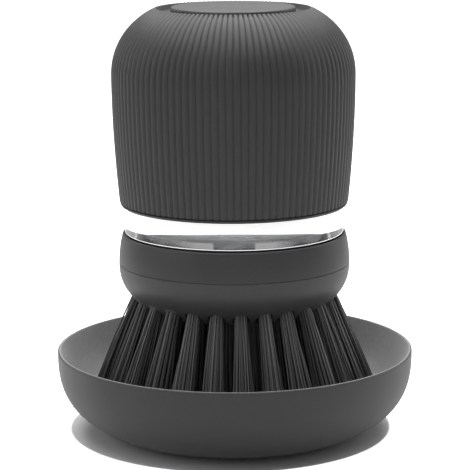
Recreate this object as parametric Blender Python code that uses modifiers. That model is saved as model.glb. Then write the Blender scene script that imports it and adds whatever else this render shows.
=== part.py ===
"""Palm dish brush with a soap reservoir and a push button, standing on its bristles in a drip tray.

Units are metres, +Z is up and the origin is on the floor under the middle of the tray. Every turned
piece shares the one upright axis. From the floor up: drip tray, brush head with its tufts, collar,
clear reservoir with its nozzle, then the screw cap, which is a ribbed dome round a liner with the
pump in it, and the push button in the dome's top.
"""

import math

import bmesh
import bpy
from mathutils import Matrix, Vector

MM = 0.001

# Clearances, and how far a cutter runs past the face it cuts
SEAT_GAP = 0.3 * MM
RUNNING_GAP = 0.4 * MM
THREAD_GAP = 0.5 * MM
CUT_PAST = 0.5 * MM

# Drip tray
TRAY_RADIUS = 46.0 * MM
TRAY_HEIGHT = 21.9 * MM
TRAY_FOOT_RADIUS = 27.0 * MM
TRAY_WALL = 2.2 * MM
TRAY_RECESS = 0.9 * MM
TRAY_FOOT_LAND = 1.4 * MM
TRAY_ROUNDNESS = 2.86
TRAY_FULLNESS = 1.56
TRAY_STEPS = 5
GRIP_RING_RADIUS = 24.5 * MM
GRIP_RING_WIDTH = 2.6 * MM
GRIP_RING_HEIGHT = 1.5 * MM
GRIP_RING_PROUD = 0.3 * MM

# Dome, which the hand holds. Its foot sets the radius of everything under it
DOME_FOOT_RADIUS = 29.25 * MM
DOME_FOOT_ROUND = 1.2 * MM
DOME_BULGE = 1.82 * MM
DOME_SWELL = 1.9
DOME_HEIGHT = 50.15 * MM
DOME_SHOULDER_RISE = 16.85 * MM
SHOULDER_SIDE = 0.597
SHOULDER_REACH = 0.338
SHOULDER_FALL = 0.092
DOME_WALL = 1.5 * MM
DOME_TOP_WALL = 2.0 * MM
RIB_COUNT = 104
RIB_DEPTH = 0.5 * MM
DISH_WIDTH = 3.35 * MM
DISH_DEPTH = 1.6 * MM
RIM_WIDTH = 0.25 * MM
RIM_DROP = 0.1 * MM
BAND_HEIGHT = 7.2 * MM

# Push button and its pump
BUTTON_RADIUS = 15.85 * MM
BUTTON_PROUD = 0.3 * MM
BUTTON_THICKNESS = 2.3 * MM
BUTTON_DEPTH = 13.9 * MM
BUTTON_WALL = 1.5 * MM
BUTTON_LIP = 1.4 * MM
BUTTON_LIP_HEIGHT = 1.6 * MM
BUTTON_TRAVEL = 5.0 * MM
SLEEVE_WALL = 1.4 * MM
SOCKET_DEPTH = 4.5 * MM
SOCKET_WALL = 1.6 * MM
CYLINDER_BORE = 8.5 * MM
CYLINDER_WALL = 1.4 * MM
PRESS_ROOM = 1.5 * MM
PISTON_HEIGHT = 3.8 * MM
STEM_RADIUS = 3.6 * MM
PLUNGER_FLANGE = 1.9 * MM
SEAL_WIDTH = 2.3 * MM
PORT_RADIUS = 2.0 * MM
SPRING_WIRE_RADIUS = 0.6 * MM
SPRING_TURNS = 7
SPRING_END_PITCH = 1.75 * MM
SPRING_POINTS_A_TURN = 9

# Cap liner and thread
DECK_THICKNESS = 2.0 * MM
LINER_WALL = 2.0 * MM
LINER_INSET = 1.5 * MM
SKIRT_CLEARANCE = 1.2 * MM
LEDGE_WIDTH = 1.2 * MM
LEDGE_HEIGHT = 1.5 * MM
GASKET_THICKNESS = 1.2 * MM
THREAD_DEPTH = 1.2 * MM
THREAD_LEAD = 6.0 * MM
THREAD_WIDTH = 2.2 * MM
THREAD_TURNS = 1.1
THREAD_RUNOUT = 0.4 * MM
THREAD_STEPS_A_TURN = 32
VENT_SHARE = 0.35
VALVE_STEM_RADIUS = 1.3 * MM
UMBRELLA_CLEARANCE = 0.5 * MM
UMBRELLA_THICKNESS = 0.5 * MM
VALVE_BULB_RADIUS = 1.9 * MM
VALVE_BULB_HEIGHT = 1.8 * MM

# Reservoir
RESERVOIR_WALL = 2.0 * MM
RESERVOIR_FLOOR = 2.0 * MM
NECK_WALL = 2.4 * MM
SHOULDER_LIFT = 2.9 * MM
SHOULDER_HEIGHT = 3.0 * MM
BEAD_WIDTH = 0.9 * MM
BEAD_HEIGHT = 0.7 * MM
SPOUT_BORE = 4.6 * MM
SPOUT_WALL = 1.8 * MM
SPOUT_LENGTH = 10.6 * MM

# Collar, and the bayonet that holds the head under it
COLLAR_DEPTH = 7.75 * MM
COLLAR_LIP = 1.0 * MM
COLLAR_BULGE = 1.07 * MM
FLANGE_WIDTH = 7.0 * MM
FLANGE_THICKNESS = 1.5 * MM
LUG_COUNT = 3
LUG_ANGLE = math.radians(30)
LUG_REACH = 2.4 * MM
LUG_THICKNESS = 1.5 * MM
LUG_ROOM = 0.6 * MM
LUG_TURN = math.radians(3)
BOSS_RISE = 0.25 * MM
HEAD_TWIST = math.radians(40)
STOP_ANGLE = math.radians(4)

# Brush head and tufts
BRISTLE_HEIGHT = 29.85 * MM
HEAD_DEPTH = 11.3 * MM
HEAD_ROUNDING = 6.2 * MM
HEAD_WALL = 2.2 * MM
PLATE_THICKNESS = 7.6 * MM
BOSS_WALL = 1.8 * MM
TUFT_RADIUS = 1.75 * MM
TUFT_DEPTH = 5.0 * MM
OUTER_STRANDS = 8
MIDDLE_STRANDS = 6
TUFT_FAN = math.radians(4.4)
STRAND_TAPER = 0.75
OUTER_TUFTS = 26
OUTER_LEAN = math.radians(20)
OUTER_START = math.radians(-86.5)
MIDDLE_TUFTS = 16
ROW_SPACING = 6.9 * MM
MIDDLE_LEAN = math.radians(12)
TIP_GAP = 0.5 * MM

# Outlet
NOZZLE_WALL = 1.6 * MM
NOZZLE_SHELF = 1.6 * MM
NOZZLE_HOLE = 3.0 * MM
NOZZLE_OVERLAP = 7.0 * MM
OUTLET_GASKET_THICKNESS = 1.0 * MM
SLIT_FLANGE_THICKNESS = 1.3 * MM
SLIT_DOME_RADIUS = 3.6 * MM
SLIT_DOME_WALL = 0.7 * MM
SLIT_WIDTH = 0.3 * MM
SLIT_LENGTH = 4.0 * MM
RETAINER_HEIGHT = 1.2 * MM
NOZZLE_CHAMFER = 0.6 * MM

# Facets round the axis
OUTER_SIDES = 40
INNER_SIDES = 32
SMALL_SIDES = 20

# Heights of the stack, from the floor up
TRAY_FOOT_Z = GRIP_RING_PROUD
TRAY_INSIDE_Z = TRAY_FOOT_Z + TRAY_RECESS + TRAY_WALL
PLATE_Z = TRAY_INSIDE_Z + BRISTLE_HEIGHT
PLATE_TOP_Z = PLATE_Z + PLATE_THICKNESS
HEAD_TOP_Z = PLATE_Z + HEAD_DEPTH
COLLAR_Z = HEAD_TOP_Z + SEAT_GAP
FLANGE_TOP_Z = COLLAR_Z + FLANGE_THICKNESS
COLLAR_TOP_Z = COLLAR_Z + COLLAR_DEPTH
LUG_Z = FLANGE_TOP_Z + SEAT_GAP
LUG_TOP_Z = LUG_Z + LUG_THICKNESS
FLOOR_Z = LUG_TOP_Z + LUG_ROOM
SPOUT_END_Z = FLOOR_Z - SPOUT_LENGTH
DOME_Z = COLLAR_TOP_Z + BAND_HEIGHT
DOME_TOP_Z = DOME_Z + DOME_HEIGHT
SHOULDER_Z = DOME_TOP_Z - DOME_SHOULDER_RISE
DISH_Z = DOME_TOP_Z - DISH_DEPTH
NECK_Z = DOME_Z + SHOULDER_LIFT + SHOULDER_HEIGHT
SKIRT_Z = NECK_Z + SKIRT_CLEARANCE
CAP_THREAD_Z = SKIRT_Z + THREAD_WIDTH / 2 + SEAT_GAP
NECK_THREAD_Z = CAP_THREAD_Z + THREAD_LEAD / 2
NECK_TOP_Z = NECK_THREAD_Z + THREAD_LEAD * THREAD_TURNS + THREAD_WIDTH / 2 + THREAD_RUNOUT
DECK_Z = NECK_TOP_Z + GASKET_THICKNESS + 2 * SEAT_GAP
DECK_TOP_Z = DECK_Z + DECK_THICKNESS
BUTTON_TOP_Z = DOME_TOP_Z + BUTTON_PROUD
BUTTON_INSIDE_Z = BUTTON_TOP_Z - BUTTON_THICKNESS
BUTTON_FOOT_Z = BUTTON_TOP_Z - BUTTON_DEPTH
LIP_TOP_Z = BUTTON_FOOT_Z + BUTTON_LIP_HEIGHT
SOCKET_Z = BUTTON_INSIDE_Z - SOCKET_DEPTH
CYLINDER_TOP_Z = SOCKET_Z - BUTTON_TRAVEL - PRESS_ROOM
PISTON_Z = DECK_TOP_Z + BUTTON_TRAVEL + 2 * PRESS_ROOM
PISTON_TOP_Z = PISTON_Z + PISTON_HEIGHT

# Radii, each from the one outside it
DOME_BORE = DOME_FOOT_RADIUS - DOME_WALL
RESERVOIR_RADIUS = DOME_BORE - THREAD_GAP
COLLAR_BORE = RESERVOIR_RADIUS + RUNNING_GAP
COLLAR_TOP_RADIUS = COLLAR_BORE + COLLAR_LIP
HEAD_RADIUS = COLLAR_TOP_RADIUS + COLLAR_BULGE
PLATE_RADIUS = HEAD_RADIUS - HEAD_ROUNDING
OUTER_ROW_RADIUS = PLATE_RADIUS + 0.9 * TUFT_RADIUS
MIDDLE_ROW_RADIUS = OUTER_ROW_RADIUS - ROW_SPACING
FLANGE_BORE = COLLAR_BORE - FLANGE_WIDTH
BOSS_RADIUS = FLANGE_BORE - RUNNING_GAP
BOSS_BORE = BOSS_RADIUS - BOSS_WALL
LINER_RADIUS = DOME_BORE - LINER_INSET
LINER_BORE = LINER_RADIUS - LINER_WALL
NECK_RADIUS = LINER_BORE - RUNNING_GAP - THREAD_DEPTH
NECK_BORE = NECK_RADIUS - NECK_WALL
OPENING_RADIUS = BUTTON_RADIUS + SEAT_GAP
SLEEVE_RADIUS = OPENING_RADIUS + SLEEVE_WALL
DISH_RADIUS = OPENING_RADIUS + DISH_WIDTH
RIM_RADIUS = DISH_RADIUS + RIM_WIDTH
SKIRT_BORE = BUTTON_RADIUS - BUTTON_WALL
CYLINDER_RADIUS = CYLINDER_BORE + CYLINDER_WALL
SEAL_RADIUS = CYLINDER_BORE - SEAT_GAP
SEAL_BORE = SEAL_RADIUS - SEAL_WIDTH
PISTON_RADIUS = SEAL_RADIUS - SEAT_GAP
PLUNGER_FLANGE_RADIUS = SEAL_BORE + SEAT_GAP
SOCKET_BORE = PLUNGER_FLANGE_RADIUS + SEAT_GAP
SPRING_BORE = CYLINDER_RADIUS + 2 * SEAT_GAP
SPRING_RADIUS = (SPRING_BORE + SPRING_WIRE_RADIUS) / math.cos(math.pi / SPRING_POINTS_A_TURN)
VALVE_HOLE_RADIUS = VALVE_STEM_RADIUS + SEAT_GAP
VALVE_AT = (SPRING_RADIUS + SPRING_WIRE_RADIUS + NECK_BORE) / 2
UMBRELLA_RADIUS = NECK_BORE - VALVE_AT - UMBRELLA_CLEARANCE
VENT_RADIUS = VENT_SHARE * (UMBRELLA_RADIUS - VALVE_HOLE_RADIUS)
SPOUT_RADIUS = SPOUT_BORE + SPOUT_WALL
NOZZLE_BORE = SPOUT_RADIUS + SEAT_GAP
NOZZLE_RADIUS = NOZZLE_BORE + NOZZLE_WALL
HEAD_BORE = NOZZLE_RADIUS + RUNNING_GAP
TUFT_HOLE_RADIUS = TUFT_RADIUS + SEAT_GAP

# Outlet heights, down from the end of the spout
OUTLET_GASKET_Z = SPOUT_END_Z - SEAT_GAP - OUTLET_GASKET_THICKNESS
SHELF_TOP_Z = OUTLET_GASKET_Z - SEAT_GAP
SHELF_Z = SHELF_TOP_Z - NOZZLE_SHELF
SLIT_TOP_Z = SHELF_Z - SEAT_GAP
SLIT_FLANGE_Z = SLIT_TOP_Z - SLIT_FLANGE_THICKNESS
RETAINER_TOP_Z = SLIT_FLANGE_Z - SEAT_GAP
RETAINER_Z = RETAINER_TOP_Z - RETAINER_HEIGHT
NOZZLE_Z = RETAINER_Z - SEAT_GAP / 2
NOZZLE_TOP_Z = SPOUT_END_Z + NOZZLE_OVERLAP


def clear_scene():
    """Remove what the startup scene holds."""
    for obj in list(bpy.data.objects):
        bpy.data.objects.remove(obj, do_unlink=True)


def new_collection(name):
    """Make a collection in the scene."""
    collection = bpy.data.collections.new(name)
    bpy.context.scene.collection.children.link(collection)
    return collection


def plastic(name, colour, roughness, transmission=0.0):
    """Make one piece's own Principled material."""
    material = bpy.data.materials.new(name)
    material.use_nodes = True
    shader = material.node_tree.nodes["Principled BSDF"]
    shader.inputs["Base Color"].default_value = (*colour, 1.0)
    shader.inputs["Roughness"].default_value = roughness
    shader.inputs["Transmission Weight"].default_value = transmission
    material.diffuse_color = (*colour, 1.0)
    return material


def steel(name):
    """Make the spring's material."""
    material = plastic(name, (0.55, 0.55, 0.56), 0.3)
    material.node_tree.nodes["Principled BSDF"].inputs["Metallic"].default_value = 1.0
    return material


def new_object(name, mesh, collection, material=None):
    """Put a mesh in the scene as one named object."""
    obj = bpy.data.objects.new(name, mesh)
    collection.objects.link(obj)
    if material:
        mesh.materials.append(material)
    return obj


def as_cutter(obj):
    """Keep a helper out of the render and draw it as wire."""
    obj.hide_render = True
    obj.display_type = "WIRE"
    return obj


def smooth(obj, degrees=40):
    """Shade a round piece smooth, with its corners sharp."""
    obj.data.shade_smooth()
    obj.data.set_sharp_from_angle(angle=math.radians(degrees))


def turned(name, profile, sides, collection, material=None, closed=True):
    """Turn a profile of (radius, height) points, which runs down its outer side, about the Z axis."""
    bm = bmesh.new()
    points = [bm.verts.new((radius, 0.0, height)) for radius, height in profile]
    for first, second in zip(points, points[1:]):
        bm.edges.new((first, second))
    if closed:
        bm.edges.new((points[-1], points[0]))
    mesh = bpy.data.meshes.new(name)
    bm.to_mesh(mesh)
    bm.free()
    obj = new_object(name, mesh, collection, material)
    screw = obj.modifiers.new("Turn", "SCREW")
    screw.axis = "Z"
    screw.steps = sides
    screw.render_steps = sides
    screw.use_merge_vertices = True
    screw.merge_threshold = 0.00001
    screw.use_smooth_shade = True
    return obj


def swept(name, section, angle, start, collection, rise=0.0, steps=8):
    """Sweep a closed section of (radius, height) points round the Z axis, rising steadily."""
    bm = bmesh.new()
    face = bm.faces.new([bm.verts.new((radius, 0.0, height)) for radius, height in section])
    bmesh.ops.rotate(bm, verts=bm.verts, cent=(0, 0, 0), matrix=Matrix.Rotation(start, 3, "Z"))
    bmesh.ops.spin(
        bm, geom=[face, *face.edges, *face.verts], cent=(0, 0, 0), axis=(0, 0, 1),
        dvec=(0, 0, rise / steps), angle=angle, steps=steps, use_duplicate=False,
    )
    bmesh.ops.holes_fill(bm, edges=[edge for edge in bm.edges if edge.is_boundary], sides=0)
    bmesh.ops.recalc_face_normals(bm, faces=bm.faces)
    mesh = bpy.data.meshes.new(name)
    bm.to_mesh(mesh)
    bm.free()
    return as_cutter(new_object(name, mesh, collection))


def round_bar(name, radius, depth, place, collection, sides=SMALL_SIDES, turn=None):
    """Make a cylinder about its own Z axis, then turn it and put its middle at a place."""
    bm = bmesh.new()
    bmesh.ops.create_cone(
        bm, cap_ends=True, segments=sides, radius1=radius, radius2=radius, depth=depth
    )
    bm.transform(Matrix.Translation(place) @ (turn or Matrix.Identity(4)))
    mesh = bpy.data.meshes.new(name)
    bm.to_mesh(mesh)
    bm.free()
    return as_cutter(new_object(name, mesh, collection))


def combine(obj, tool, operation):
    """Cut a tool from an object, or join it on."""
    boolean = obj.modifiers.new(tool.name, "BOOLEAN")
    boolean.operation = operation
    boolean.solver = "EXACT"
    boolean.object = tool


def cubic(points, t):
    """Give the point at t on the cubic curve of four (radius, height) points."""
    weights = ((1 - t) ** 3, 3 * (1 - t) ** 2 * t, 3 * (1 - t) * t**2, t**3)
    return tuple(sum(w * point[axis] for w, point in zip(weights, points)) for axis in (0, 1))


def tray_outer_radius(height):
    """Radius of the tray's outer side at a height over its foot."""
    share = 1 - (1 - height / (TRAY_HEIGHT - TRAY_FOOT_Z)) ** TRAY_ROUNDNESS
    return TRAY_FOOT_RADIUS + (TRAY_RADIUS - TRAY_FOOT_RADIUS) * share ** (1 / TRAY_FULLNESS)


def tray_inner_side(steps):
    """Points up the tray's inner side, one wall in from the outer side, from its flat floor."""
    side = TRAY_HEIGHT - TRAY_FOOT_Z
    small = 0.001 * side
    found = []
    for step in range(steps + 1):
        height = side * (0.02 + 0.95 * step / steps)
        slope = (tray_outer_radius(height + small) - tray_outer_radius(height - small)) / (2 * small)
        length = math.hypot(1.0, slope)
        radius = tray_outer_radius(height) - TRAY_WALL / length
        z = TRAY_FOOT_Z + height + TRAY_WALL * slope / length
        if z > TRAY_INSIDE_Z:
            found.append((radius, z))
    return [(2 * found[0][0] - found[1][0], TRAY_INSIDE_Z), *found]


def tray_surface(radius, side):
    """Height of the tray's inside at a radius, from the points of its inner side."""
    if radius <= side[0][0]:
        return TRAY_INSIDE_Z
    for (r0, z0), (r1, z1) in zip(side, side[1:]):
        if radius <= r1:
            return z0 + (z1 - z0) * (radius - r0) / (r1 - r0)
    return side[-1][1]


def make_tray(parts):
    """Bowl with a rounded side, a round rim and a groove for the grip ring under it."""
    rim = 0.3 * TRAY_WALL
    shares = (0.7, 0.45, 0.26, 0.12, 0.045, 0.01)
    side = TRAY_HEIGHT - TRAY_FOOT_Z
    outer = [(tray_outer_radius(side * share), TRAY_FOOT_Z + side * share) for share in shares]
    groove_out = GRIP_RING_RADIUS + GRIP_RING_WIDTH / 2 + SEAT_GAP
    groove_in = GRIP_RING_RADIUS - GRIP_RING_WIDTH / 2 - SEAT_GAP
    groove_z = GRIP_RING_HEIGHT + SEAT_GAP
    inner_edge = groove_in - TRAY_FOOT_LAND
    profile = [(0.0, TRAY_INSIDE_Z), *tray_inner_side(TRAY_STEPS)]
    profile += [
        (TRAY_RADIUS - TRAY_WALL, TRAY_HEIGHT - rim),
        (TRAY_RADIUS - TRAY_WALL + rim, TRAY_HEIGHT),
        (TRAY_RADIUS - rim, TRAY_HEIGHT),
        (TRAY_RADIUS, TRAY_HEIGHT - rim),
        *outer,
        (TRAY_FOOT_RADIUS, TRAY_FOOT_Z),
        (groove_out, TRAY_FOOT_Z),
        (groove_out, groove_z),
        (groove_in, groove_z),
        (groove_in, TRAY_FOOT_Z),
        (inner_edge, TRAY_FOOT_Z),
        (inner_edge - TRAY_RECESS, TRAY_FOOT_Z + TRAY_RECESS),
        (0.0, TRAY_FOOT_Z + TRAY_RECESS),
    ]
    grey = plastic("tray_plastic", (0.05, 0.05, 0.052), 0.55)
    return turned("drip_tray", profile, OUTER_SIDES, parts, grey, closed=False)


def make_grip_ring(parts):
    """Soft ring that stands the tray on the counter."""
    outer = GRIP_RING_RADIUS + GRIP_RING_WIDTH / 2
    inner = GRIP_RING_RADIUS - GRIP_RING_WIDTH / 2
    profile = [(outer, GRIP_RING_HEIGHT), (outer, 0.0), (inner, 0.0), (inner, GRIP_RING_HEIGHT)]
    rubber = plastic("grip_ring_rubber", (0.03, 0.03, 0.03), 0.8)
    return turned("anti_slip_ring", profile, INNER_SIDES, parts, rubber)


def make_head(parts, tools):
    """Tuft block with the lower shell, the bore for the nozzle and the bayonet boss with its lugs."""
    curve = (
        (HEAD_RADIUS, HEAD_TOP_Z),
        (HEAD_RADIUS, HEAD_TOP_Z - 0.49 * HEAD_DEPTH),
        (HEAD_RADIUS - 0.41 * HEAD_ROUNDING, PLATE_Z + 0.32 * HEAD_DEPTH),
        (PLATE_RADIUS, PLATE_Z),
    )
    outer = [cubic(curve, step / 5) for step in range(6)]
    wall = HEAD_RADIUS - HEAD_WALL
    profile = [
        *outer,
        (HEAD_BORE, PLATE_Z),
        (HEAD_BORE, PLATE_TOP_Z),
        (BOSS_BORE, PLATE_TOP_Z),
        (BOSS_BORE, LUG_TOP_Z + BOSS_RISE),
        (BOSS_RADIUS, LUG_TOP_Z + BOSS_RISE),
        (BOSS_RADIUS, PLATE_TOP_Z),
        (wall - HEAD_WALL / 4, PLATE_TOP_Z),
        (wall, HEAD_TOP_Z),
    ]
    grey = plastic("head_plastic", (0.045, 0.045, 0.047), 0.5)
    head = turned("brush_head", profile, OUTER_SIDES, parts, grey)
    for number in range(LUG_COUNT):
        lug = swept(
            f"lug_{number + 1}",
            [
                (BOSS_RADIUS - BOSS_WALL / 2, LUG_Z),
                (BOSS_RADIUS + LUG_REACH, LUG_Z),
                (BOSS_RADIUS + LUG_REACH, LUG_TOP_Z),
                (BOSS_RADIUS - BOSS_WALL / 2, LUG_TOP_Z),
            ],
            LUG_ANGLE, lug_start(number), tools, steps=4,
        )
        combine(head, lug, "UNION")
    for name, place, strands in tuft_places():
        hole = round_bar(
            f"hole_{name}", TUFT_HOLE_RADIUS, 2 * (TUFT_DEPTH + SEAT_GAP), (0, 0, 0), tools,
            strands, place,
        )
        combine(head, hole, "DIFFERENCE")
    return head


def lug_start(number):
    """Angle at which a bayonet lug starts."""
    return LUG_TURN + 2 * math.pi * number / LUG_COUNT


def tuft_places():
    """Name, place and strands of each tuft: local -Z runs down it, from the face of the block."""
    places = []
    for number in range(OUTER_TUFTS):
        angle = OUTER_START + 2 * math.pi * number / OUTER_TUFTS
        # The head's side runs out at 45 degrees here, so a root rises as far as it moves out.
        root = Vector((OUTER_ROW_RADIUS, 0.0, PLATE_Z + OUTER_ROW_RADIUS - PLATE_RADIUS))
        place = tuft_matrix(angle, root, OUTER_LEAN)
        places.append((f"tuft_outer_{number + 1:02d}", place, OUTER_STRANDS))
    for number in range(MIDDLE_TUFTS):
        angle = OUTER_START + 2 * math.pi * (number + 0.5) / MIDDLE_TUFTS
        root = Vector((MIDDLE_ROW_RADIUS, 0.0, PLATE_Z))
        place = tuft_matrix(angle, root, MIDDLE_LEAN)
        places.append((f"tuft_middle_{number + 1:02d}", place, MIDDLE_STRANDS))
    return places


def tuft_matrix(angle, root, lean):
    """Place that leans a tuft outwards and turns it round the brush."""
    return Matrix.Rotation(angle, 4, "Z") @ Matrix.Translation(root) @ Matrix.Rotation(-lean, 4, "Y")


def tip_of(root, along, side):
    """Point where a line down from a root comes near the inside of the tray."""
    low, high = 0.0, 2 * BRISTLE_HEIGHT
    for _ in range(40):
        middle = (low + high) / 2
        point = root + middle * along
        if point.z > tray_surface(math.hypot(point.x, point.y), side) + TIP_GAP:
            low = middle
        else:
            high = middle
    return root + low * along


def make_tuft(name, place, strands, side, parts, material):
    """Round plug in its hole, drawn out below into strands that fan apart down to the tray."""
    bm = bmesh.new()
    bmesh.ops.create_circle(
        bm, cap_ends=True, cap_tris=True, segments=strands, radius=TUFT_RADIUS
    )
    wedges = bm.faces[:]
    raised = bmesh.ops.extrude_face_region(bm, geom=wedges, use_keep_orig=True)
    top = [item for item in raised["geom"] if isinstance(item, bmesh.types.BMVert)]
    bmesh.ops.translate(bm, verts=top, vec=(0, 0, TUFT_DEPTH))
    bmesh.ops.recalc_face_normals(bm, faces=bm.faces)
    bm.transform(place)
    down = place.to_3x3() @ Vector((0.0, 0.0, -1.0))
    spread = math.tan(TUFT_FAN) / TUFT_RADIUS
    for face in bmesh.ops.extrude_discrete_faces(bm, faces=wedges)["faces"]:
        middle = face.calc_center_median()
        along = (down + spread * (middle - place.translation)).normalized()
        for vertex in face.verts:
            root = middle + STRAND_TAPER * (vertex.co - middle)
            vertex.co = tip_of(root, along, side)
    mesh = bpy.data.meshes.new(name)
    bm.to_mesh(mesh)
    bm.free()
    return new_object(name, mesh, parts, material)


def make_collar(parts, tools):
    """Ring over the joint line, with the flange that the head's lugs lock on."""
    steps = 3
    outer = []
    for step in range(steps + 1):
        share = 1 - step / steps
        outer.append((HEAD_RADIUS - COLLAR_BULGE * share**2, COLLAR_Z + COLLAR_DEPTH * share))
    edge = COLLAR_LIP / 3
    outer[0:1] = [
        (COLLAR_TOP_RADIUS - edge, COLLAR_TOP_Z),
        (COLLAR_TOP_RADIUS, COLLAR_TOP_Z - edge),
    ]
    profile = [
        *outer,
        (FLANGE_BORE, COLLAR_Z),
        (FLANGE_BORE, FLANGE_TOP_Z),
        (COLLAR_BORE, FLANGE_TOP_Z),
        (COLLAR_BORE, COLLAR_TOP_Z),
    ]
    grey = plastic("collar_plastic", (0.05, 0.05, 0.052), 0.5)
    collar = turned("collar_ring", profile, OUTER_SIDES, parts, grey)
    reach = BOSS_RADIUS + LUG_REACH
    play = RUNNING_GAP / BOSS_RADIUS
    for number in range(LUG_COUNT):
        start = lug_start(number)
        notch = swept(
            f"notch_{number + 1}",
            [
                (FLANGE_BORE - CUT_PAST, COLLAR_Z - CUT_PAST),
                (reach + RUNNING_GAP, COLLAR_Z - CUT_PAST),
                (reach + RUNNING_GAP, FLANGE_TOP_Z + CUT_PAST),
                (FLANGE_BORE - CUT_PAST, FLANGE_TOP_Z + CUT_PAST),
            ],
            LUG_ANGLE + 2 * play, start + HEAD_TWIST - play, tools, steps=4,
        )
        combine(collar, notch, "DIFFERENCE")
        stop = swept(
            f"stop_{number + 1}",
            [
                (FLANGE_BORE + RUNNING_GAP, FLANGE_TOP_Z - FLANGE_THICKNESS / 2),
                (reach, FLANGE_TOP_Z - FLANGE_THICKNESS / 2),
                (reach, LUG_TOP_Z),
                (FLANGE_BORE + RUNNING_GAP, LUG_TOP_Z),
            ],
            STOP_ANGLE, start - 2 * play - STOP_ANGLE, tools, steps=1,
        )
        combine(collar, stop, "UNION")
    return collar


def thread_section(root, crest, middle):
    """Section of a thread ridge, wide where it is rooted and narrower at its crest."""
    wide = THREAD_WIDTH / 2
    narrow = 0.6 * wide
    return [
        (root, middle - wide), (crest, middle - narrow), (crest, middle + narrow), (root, middle + wide)
    ]


def make_reservoir(parts, tools):
    """Clear vessel: foot ring in the collar, a bead over the collar's edge, a threaded neck."""
    inner = RESERVOIR_RADIUS - RESERVOIR_WALL
    skirt = RESERVOIR_RADIUS - 0.85 * RESERVOIR_WALL
    bead_z = COLLAR_TOP_Z + SEAT_GAP
    profile = [
        (NECK_RADIUS, NECK_TOP_Z),
        (NECK_RADIUS, NECK_Z),
        (RESERVOIR_RADIUS, DOME_Z + SHOULDER_LIFT),
        (RESERVOIR_RADIUS, bead_z + 4 * BEAD_HEIGHT),
        (RESERVOIR_RADIUS + 0.7 * BEAD_WIDTH, bead_z + BEAD_HEIGHT),
        (RESERVOIR_RADIUS + BEAD_WIDTH, bead_z),
        (RESERVOIR_RADIUS, bead_z),
        (RESERVOIR_RADIUS, LUG_Z),
        (skirt, LUG_Z),
        (skirt, FLOOR_Z),
        (SPOUT_RADIUS, FLOOR_Z),
        (SPOUT_RADIUS, SPOUT_END_Z),
        (SPOUT_BORE, SPOUT_END_Z),
        (SPOUT_BORE, FLOOR_Z + RESERVOIR_FLOOR),
        (inner, FLOOR_Z + RESERVOIR_FLOOR),
        (inner, DOME_Z + SHOULDER_LIFT - 0.3 * RESERVOIR_WALL),
        (NECK_BORE, NECK_Z - 0.3 * RESERVOIR_WALL),
        (NECK_BORE, NECK_TOP_Z),
    ]
    clear = plastic("clear_plastic", (0.8, 0.81, 0.82), 0.08, transmission=1.0)
    reservoir = turned("reservoir", profile, OUTER_SIDES, parts, clear)
    root = NECK_RADIUS - 0.3 * NECK_WALL
    section = thread_section(root, NECK_RADIUS + THREAD_DEPTH, NECK_THREAD_Z)
    ridge = swept(
        "neck_thread", section, 2 * math.pi * THREAD_TURNS, 0.0, tools,
        THREAD_LEAD * THREAD_TURNS, int(THREAD_STEPS_A_TURN * THREAD_TURNS),
    )
    combine(reservoir, ridge, "UNION")
    return reservoir


def make_nozzle(parts):
    """Sleeve on the spout, with a shelf between the gasket and the slit valve."""
    valve_bore = NOZZLE_BORE - SEAT_GAP
    profile = [
        (NOZZLE_RADIUS, NOZZLE_TOP_Z),
        (NOZZLE_RADIUS, NOZZLE_Z + NOZZLE_CHAMFER),
        (NOZZLE_RADIUS - NOZZLE_CHAMFER, NOZZLE_Z),
        (valve_bore, NOZZLE_Z),
        (valve_bore, SHELF_Z),
        (NOZZLE_HOLE, SHELF_Z),
        (NOZZLE_HOLE, SHELF_TOP_Z),
        (NOZZLE_BORE, SHELF_TOP_Z),
        (NOZZLE_BORE, NOZZLE_TOP_Z),
    ]
    grey = plastic("nozzle_plastic", (0.35, 0.35, 0.36), 0.4)
    return turned("outlet_nozzle", profile, SMALL_SIDES, parts, grey)


def make_nozzle_gasket(parts):
    """Flat seal between the end of the spout and the shelf."""
    profile = [
        (SPOUT_RADIUS, SPOUT_END_Z - SEAT_GAP),
        (SPOUT_RADIUS, OUTLET_GASKET_Z),
        (SPOUT_BORE, OUTLET_GASKET_Z),
        (SPOUT_BORE, SPOUT_END_Z - SEAT_GAP),
    ]
    rubber = plastic("nozzle_gasket_rubber", (0.7, 0.7, 0.68), 0.7)
    return turned("nozzle_gasket", profile, SMALL_SIDES, parts, rubber)


def make_slit_valve(parts, tools):
    """Soft disc with a thin dome hanging down, slit across its lowest point."""
    outer = NOZZLE_BORE - 2 * SEAT_GAP
    inner_dome = SLIT_DOME_RADIUS - SLIT_DOME_WALL
    drop = SLIT_FLANGE_Z - RETAINER_HEIGHT
    knee = drop + 0.35 * RETAINER_HEIGHT
    profile = [
        (0.0, drop + SLIT_DOME_WALL),
        (0.7 * inner_dome, knee + SLIT_DOME_WALL),
        (inner_dome, SLIT_FLANGE_Z + SLIT_DOME_WALL),
        (inner_dome, SLIT_TOP_Z),
        (outer, SLIT_TOP_Z),
        (outer, SLIT_FLANGE_Z),
        (SLIT_DOME_RADIUS, SLIT_FLANGE_Z),
        (0.75 * SLIT_DOME_RADIUS, knee),
        (0.0, drop),
    ]
    rubber = plastic("slit_valve_silicone", (0.75, 0.75, 0.74), 0.5)
    valve = turned("slit_valve", profile, SMALL_SIDES, parts, rubber, closed=False)
    bm = bmesh.new()
    bmesh.ops.create_cube(bm, size=1.0)
    bmesh.ops.scale(bm, vec=(SLIT_LENGTH, SLIT_WIDTH, 3 * RETAINER_HEIGHT), verts=bm.verts)
    bmesh.ops.translate(bm, vec=(0, 0, drop), verts=bm.verts)
    mesh = bpy.data.meshes.new("slit")
    bm.to_mesh(mesh)
    bm.free()
    combine(valve, as_cutter(new_object("slit", mesh, tools)), "DIFFERENCE")
    return valve


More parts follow.
